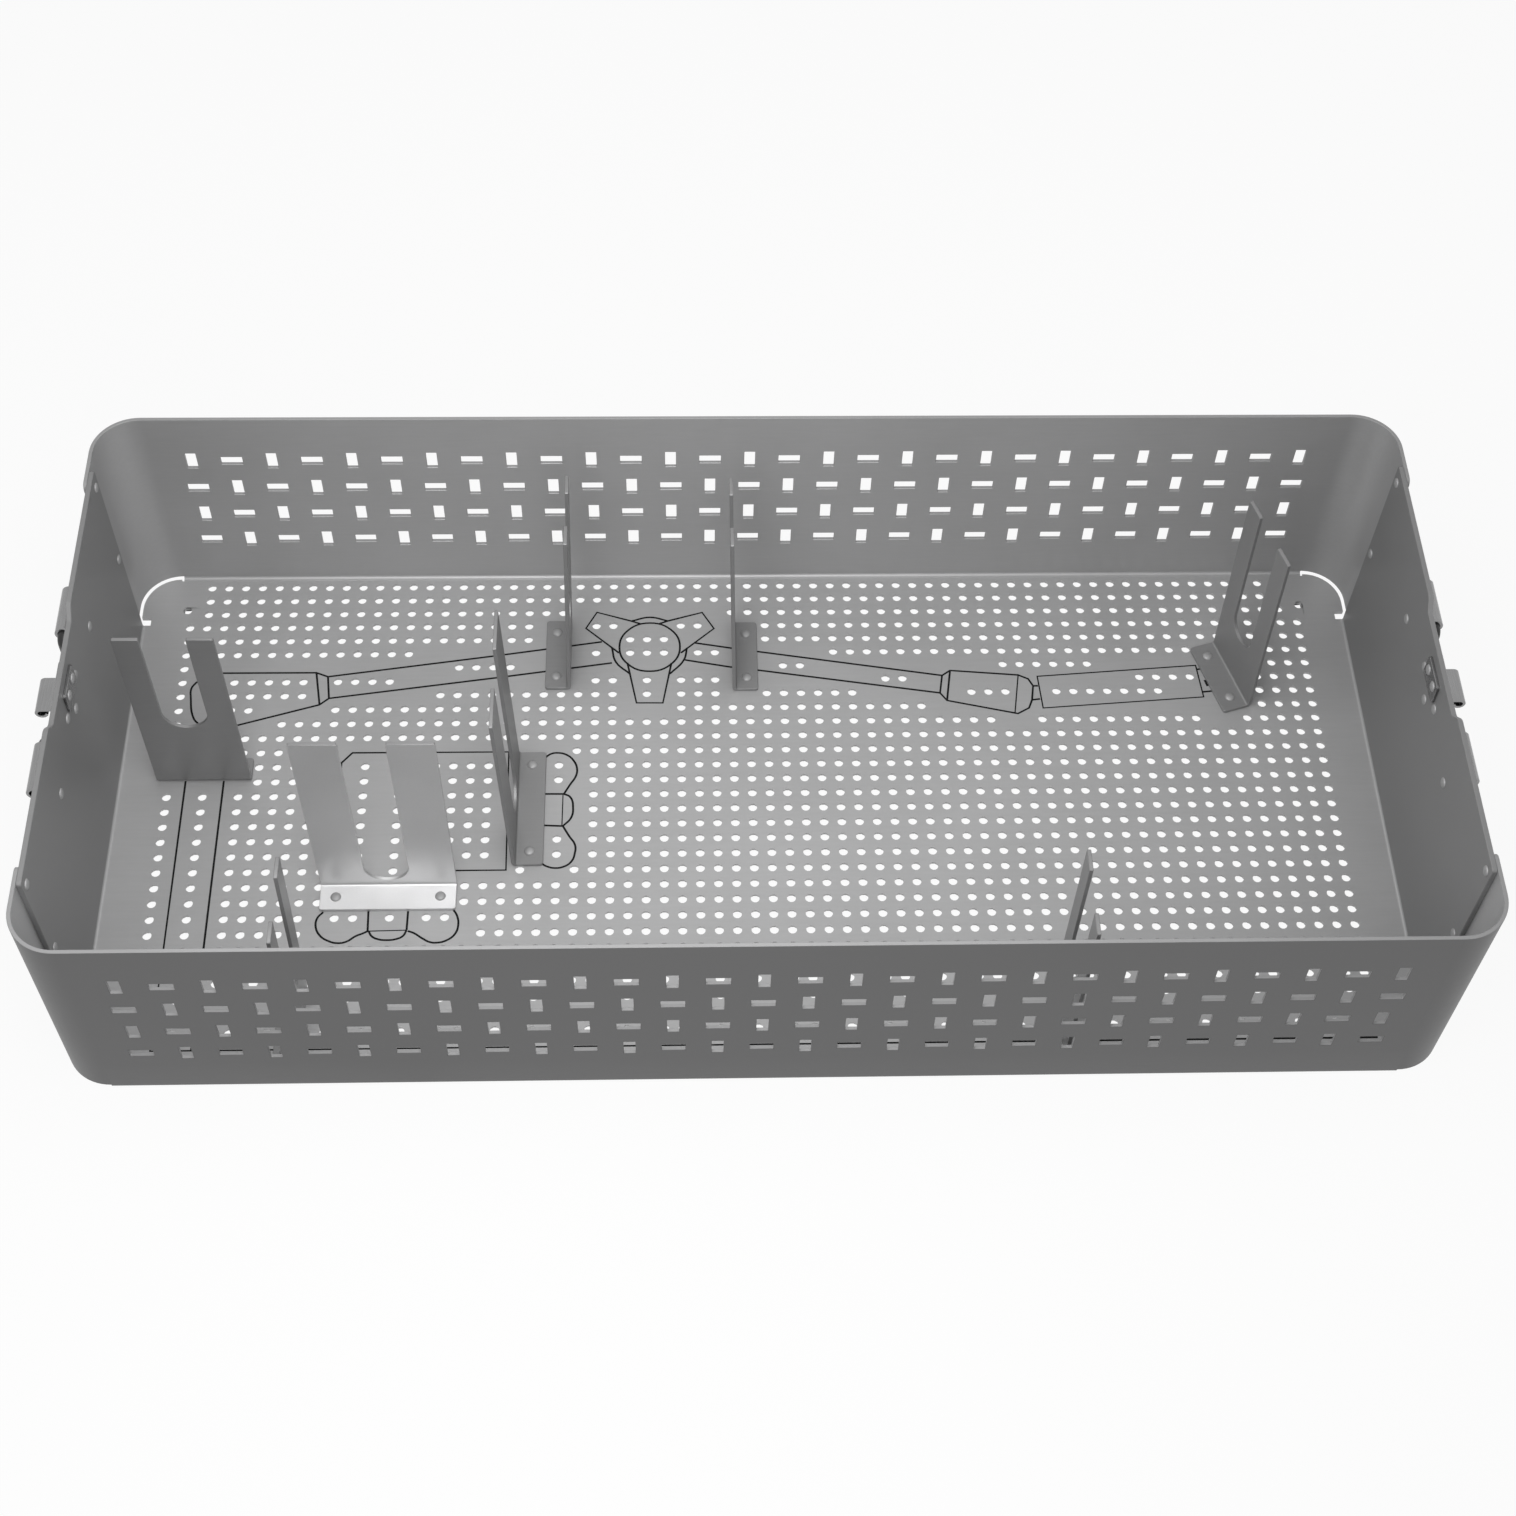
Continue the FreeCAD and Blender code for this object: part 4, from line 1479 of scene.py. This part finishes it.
    def build_catch(self) -> None:
        """Make the lid catch: a riveted plate with a tongue that reaches out and curls."""
        mesh = bmesh.new()
        near, half, neck = self.body.end_face, self.catch_half, self.catch_neck
        top = self.body.rim - self.catch_top_drop
        shoulder = top - self.catch_neck_height
        low = shoulder - self.catch_height
        pen = Pen(mesh, (near, half - self.catch_corner, low))
        outline = [
            (half, low + self.catch_corner), (half, shoulder), (neck, shoulder), (neck, top),
        ]
        pen.to(*[(near, y, z) for y, z in outline])
        mirrored = [(near, -y, z) for y, z in reversed(outline)]
        pen.to(*mirrored, (near, self.catch_corner - half, low))
        face = pen.fill()
        if face.normal.x > 0:
            face.normal_flip()
        round_corners(mesh, lambda co: co.z > top - TOUCH, 2.0, 4)
        round_corners(
            mesh, lambda co: abs(co.z - shoulder) < TOUCH and abs(co.y) > neck + 0.1, 1.5, 4
        )
        thicken(mesh, self.sheet)
        self.add_tongue(mesh)
        break_edges(mesh, 0.12)
        self.to_end(mesh)
        name = "catch_" + self.label
        to_piece(mesh, name + "_plate", [self.finishes.steel], [name])

    def add_tongue(self, mesh: bmesh.types.BMesh) -> None:
        """Add the tongue: straight out from the plate, then down and round."""
        other = bmesh.new()
        half, level = self.tongue_half, self.body.rim - self.tongue_drop
        near = self.body.end_face + self.sheet / 2
        bend = self.body.end_face + self.tongue_reach
        pen = Pen(other, (near, -half, level))
        pen.to((bend, -half, level))
        pen.arc((bend, -half, level - self.curl), (0, 1, 0), self.curl_sweep, 24)
        pull(other, pen.drawn, (0, 2 * half, 0))
        bmesh.ops.recalc_face_normals(other, faces=other.faces)
        shelf = next(f for f in other.faces if f.calc_center_median().z > level - 0.005)
        if shelf.normal.z < 0:
            bmesh.ops.reverse_faces(other, faces=other.faces)
        thicken(other, self.sheet)
        data = bpy.data.meshes.new("tongue")
        other.to_mesh(data)
        other.free()
        mesh.from_mesh(data)
        bpy.data.meshes.remove(data)

    def build_backing(self) -> None:
        """Make the plate on the inside of the end flap, behind the catch."""
        mesh = bmesh.new()
        near = self.body.end_face - self.body.pan_sheet
        top = self.body.rim - self.backing_drop
        low = top - self.backing_height
        pen = Pen(mesh, (near, -self.catch_neck, low))
        pen.to(
            (near, self.catch_neck, low), (near, self.catch_neck, top),
            (near, -self.catch_neck, top),
        )
        face = pen.fill()
        if face.normal.x < 0:
            face.normal_flip()
        round_corners(mesh, lambda co: True, 1.5, 4)
        thicken(mesh, self.sheet)
        break_edges(mesh, 0.15)
        self.to_end(mesh)
        name = "backing_" + self.label
        to_piece(mesh, name + "_plate", [self.finishes.steel], [name])

    def rivet_places(self, points: Iterable[Point], inner: float) -> tuple[list, list]:
        """Return where rivets through the end flap have their heads and formed ends.

        Args:
            points: Place across the end and height of each rivet.
            inner: Thickness of a plate behind the flap.

        Returns:
            The heads' places inside and the formed ends' places outside.
        """
        side = self.end.value
        inside = side * (self.body.end_face - self.body.pan_sheet - inner)
        outside = side * (self.body.end_face + self.sheet)
        heads = [facing(-side, inside, y, z) for y, z in points]
        tails = [facing(side, outside, y, z) for y, z in points]
        return heads, tails

    def build(self) -> None:
        """Make everything on this end."""
        self.build_knuckle(back=True)
        self.build_knuckle(back=False)
        self.build_bail()
        self.build_catch()
        self.build_backing()


def end_rivets(ends: Sequence[EndHardware], body: Envelope) -> list[RivetGroup]:
    """Return the rivet groups of the corners, the knuckles and the catches.

    Args:
        ends: The hardware of both ends.
        body: The sheet body's sizes.

    Returns:
        The groups.
    """
    groups = {name: ([], []) for name in ("corner_rivets", "knuckle_rivets", "catch_rivets")}
    for end in ends:
        inset, drop = end.corner_rivet
        levels = (body.rim - drop, body.rim - drop - end.corner_rivet_spacing)
        corners = [(s * (body.tab_end + inset), z) for s in (-1, 1) for z in levels]
        inset, drop = end.knuckle_rivet
        knuckles = [(s * (end.knuckle_inner + inset), end.pivot.z - drop) for s in (-1, 1)]
        upper, lower = end.plate_rivet_drops
        inset = end.catch_half - end.plate_rivet_inset
        plate = [(s * inset, body.rim - upper) for s in (-1, 1)] + [(0.0, body.rim - lower)]
        inset, drop = end.neck_rivet
        neck = [(s * inset, body.rim - drop) for s in (-1, 1)]
        for name, points, inner in (
            ("corner_rivets", corners, 0.0),
            ("knuckle_rivets", knuckles, 0.0),
            ("catch_rivets", plate, 0.0),
            ("catch_rivets", neck, end.sheet),
        ):
            heads, tails = end.rivet_places(points, inner)
            if name == "corner_rivets":
                outside = end.end.value * body.half_length
                tails = [facing(end.end.value, outside, y, z) for y, z in points]
            groups[name][0].extend(heads)
            groups[name][1].extend(tails)
    return [RivetGroup(name, heads, tails) for name, (heads, tails) in groups.items()]


# The studio.


@dataclass
class Studio:
    """Pale floor, soft light from above and the camera of the photograph."""

    lens: float = 56.34
    shift: Point = (-0.0034, 0.0049)
    eye: tuple[float, float, float] = (-0.02864, -0.55113, 0.84268)
    right: tuple[float, float, float] = (0.99942695, -0.02481491, 0.02302169)
    down: tuple[float, float, float] = (-0.00754502, -0.82632529, -0.56314259)
    ahead: tuple[float, float, float] = (0.03299773, 0.56264618, -0.82603899)
    fill: float = 0.3
    lamp_size: Point = (0.3, 0.7)
    lamp_place: tuple[float, float, float] = (-0.08, -0.2, 0.5)
    lamp_aim: tuple[float, float, float] = (-0.06, 0.0, 0.0)
    lamp_power: float = 2.6

    def add_floor(self) -> None:
        """Add the pale floor under the basket."""
        mesh = bmesh.new()
        bmesh.ops.create_grid(mesh, x_segments=1, y_segments=1, size=6.0)
        data = bpy.data.meshes.new("studio_floor")
        mesh.to_mesh(data)
        mesh.free()
        data.materials.append(Backdrop("pale_floor").build())
        floor = bpy.data.objects.new("studio_floor", data)
        floor.location.z = -0.0005
        bpy.context.scene.collection.objects.link(floor)

    def add_lamp(self) -> None:
        """Add the soft panel of light overhead."""
        lamp = bpy.data.lights.new("overhead", "AREA")
        lamp.shape = "RECTANGLE"
        lamp.size, lamp.size_y = self.lamp_size
        lamp.energy = self.lamp_power
        panel = bpy.data.objects.new("overhead", lamp)
        panel.location = self.lamp_place
        ray = Vector(self.lamp_aim) - Vector(self.lamp_place)
        panel.rotation_euler = ray.to_track_quat("-Z", "Y").to_euler()
        bpy.context.scene.collection.objects.link(panel)

    def add_world(self) -> None:
        """Surround the scene with white that lights it gently."""
        world = bpy.data.worlds.new("studio")
        world.use_nodes = True
        bpy.context.scene.world = world
        nodes, links = world.node_tree.nodes, world.node_tree.links
        background = nodes["Background"]
        background.inputs["Color"].default_value = (1, 1, 1, 1)
        path = nodes.new("ShaderNodeLightPath")
        seen = path.outputs["Is Camera Ray"]
        for name in ("Is Glossy Ray", "Is Transmission Ray"):
            add = nodes.new("ShaderNodeMath")
            add.operation = "MAXIMUM"
            links.new(seen, add.inputs[0])
            links.new(path.outputs[name], add.inputs[1])
            seen = add.outputs[0]
        level = nodes.new("ShaderNodeMapRange")
        level.inputs["To Min"].default_value = self.fill
        level.inputs["To Max"].default_value = 1.0
        links.new(seen, level.inputs["Value"])
        links.new(level.outputs[0], background.inputs["Strength"])

    def add_camera(self) -> None:
        """Add the camera at the photograph's viewpoint."""
        data = bpy.data.cameras.new("photo_view")
        data.lens = self.lens
        data.sensor_width = 36.0
        data.shift_x, data.shift_y = self.shift
        data.clip_start, data.clip_end = 0.01, 50.0
        camera = bpy.data.objects.new("photo_view", data)
        up, back = -Vector(self.down), -Vector(self.ahead)
        turn = Matrix((Vector(self.right), up, back)).transposed().to_4x4()
        camera.matrix_world = Matrix.Translation(self.eye) @ turn
        bpy.context.scene.collection.objects.link(camera)
        bpy.context.scene.camera = camera

    def build(self) -> None:
        """Set up the studio."""
        self.add_floor()
        self.add_world()
        self.add_lamp()
        self.add_camera()
        bpy.context.scene.view_settings.view_transform = "Standard"


def main() -> None:
    """Build the basket piece by piece."""
    logging.basicConfig(level=logging.INFO, format="%(name)s %(message)s")
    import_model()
    Studio().build()
    finishes = Finishes.make()
    body = Envelope()
    PerforatedPan(body, finishes, FORKS).build()
    FloorPrint(finishes).build()
    SlottedWall("rear_wall", False, body, finishes).build()
    SlottedWall("front_wall", True, body, finishes).build()
    for fork in FORKS:
        fork.build(finishes)
    places = [place for fork in FORKS for place in fork.rivets]
    RivetGroup("fork_rivets", places).build(finishes)
    ends = [EndHardware(end, body, finishes) for end in End]
    for end in ends:
        end.build()
    for group in end_rivets(ends, body):
        group.build(finishes)


if __name__ == "__main__":
    main()
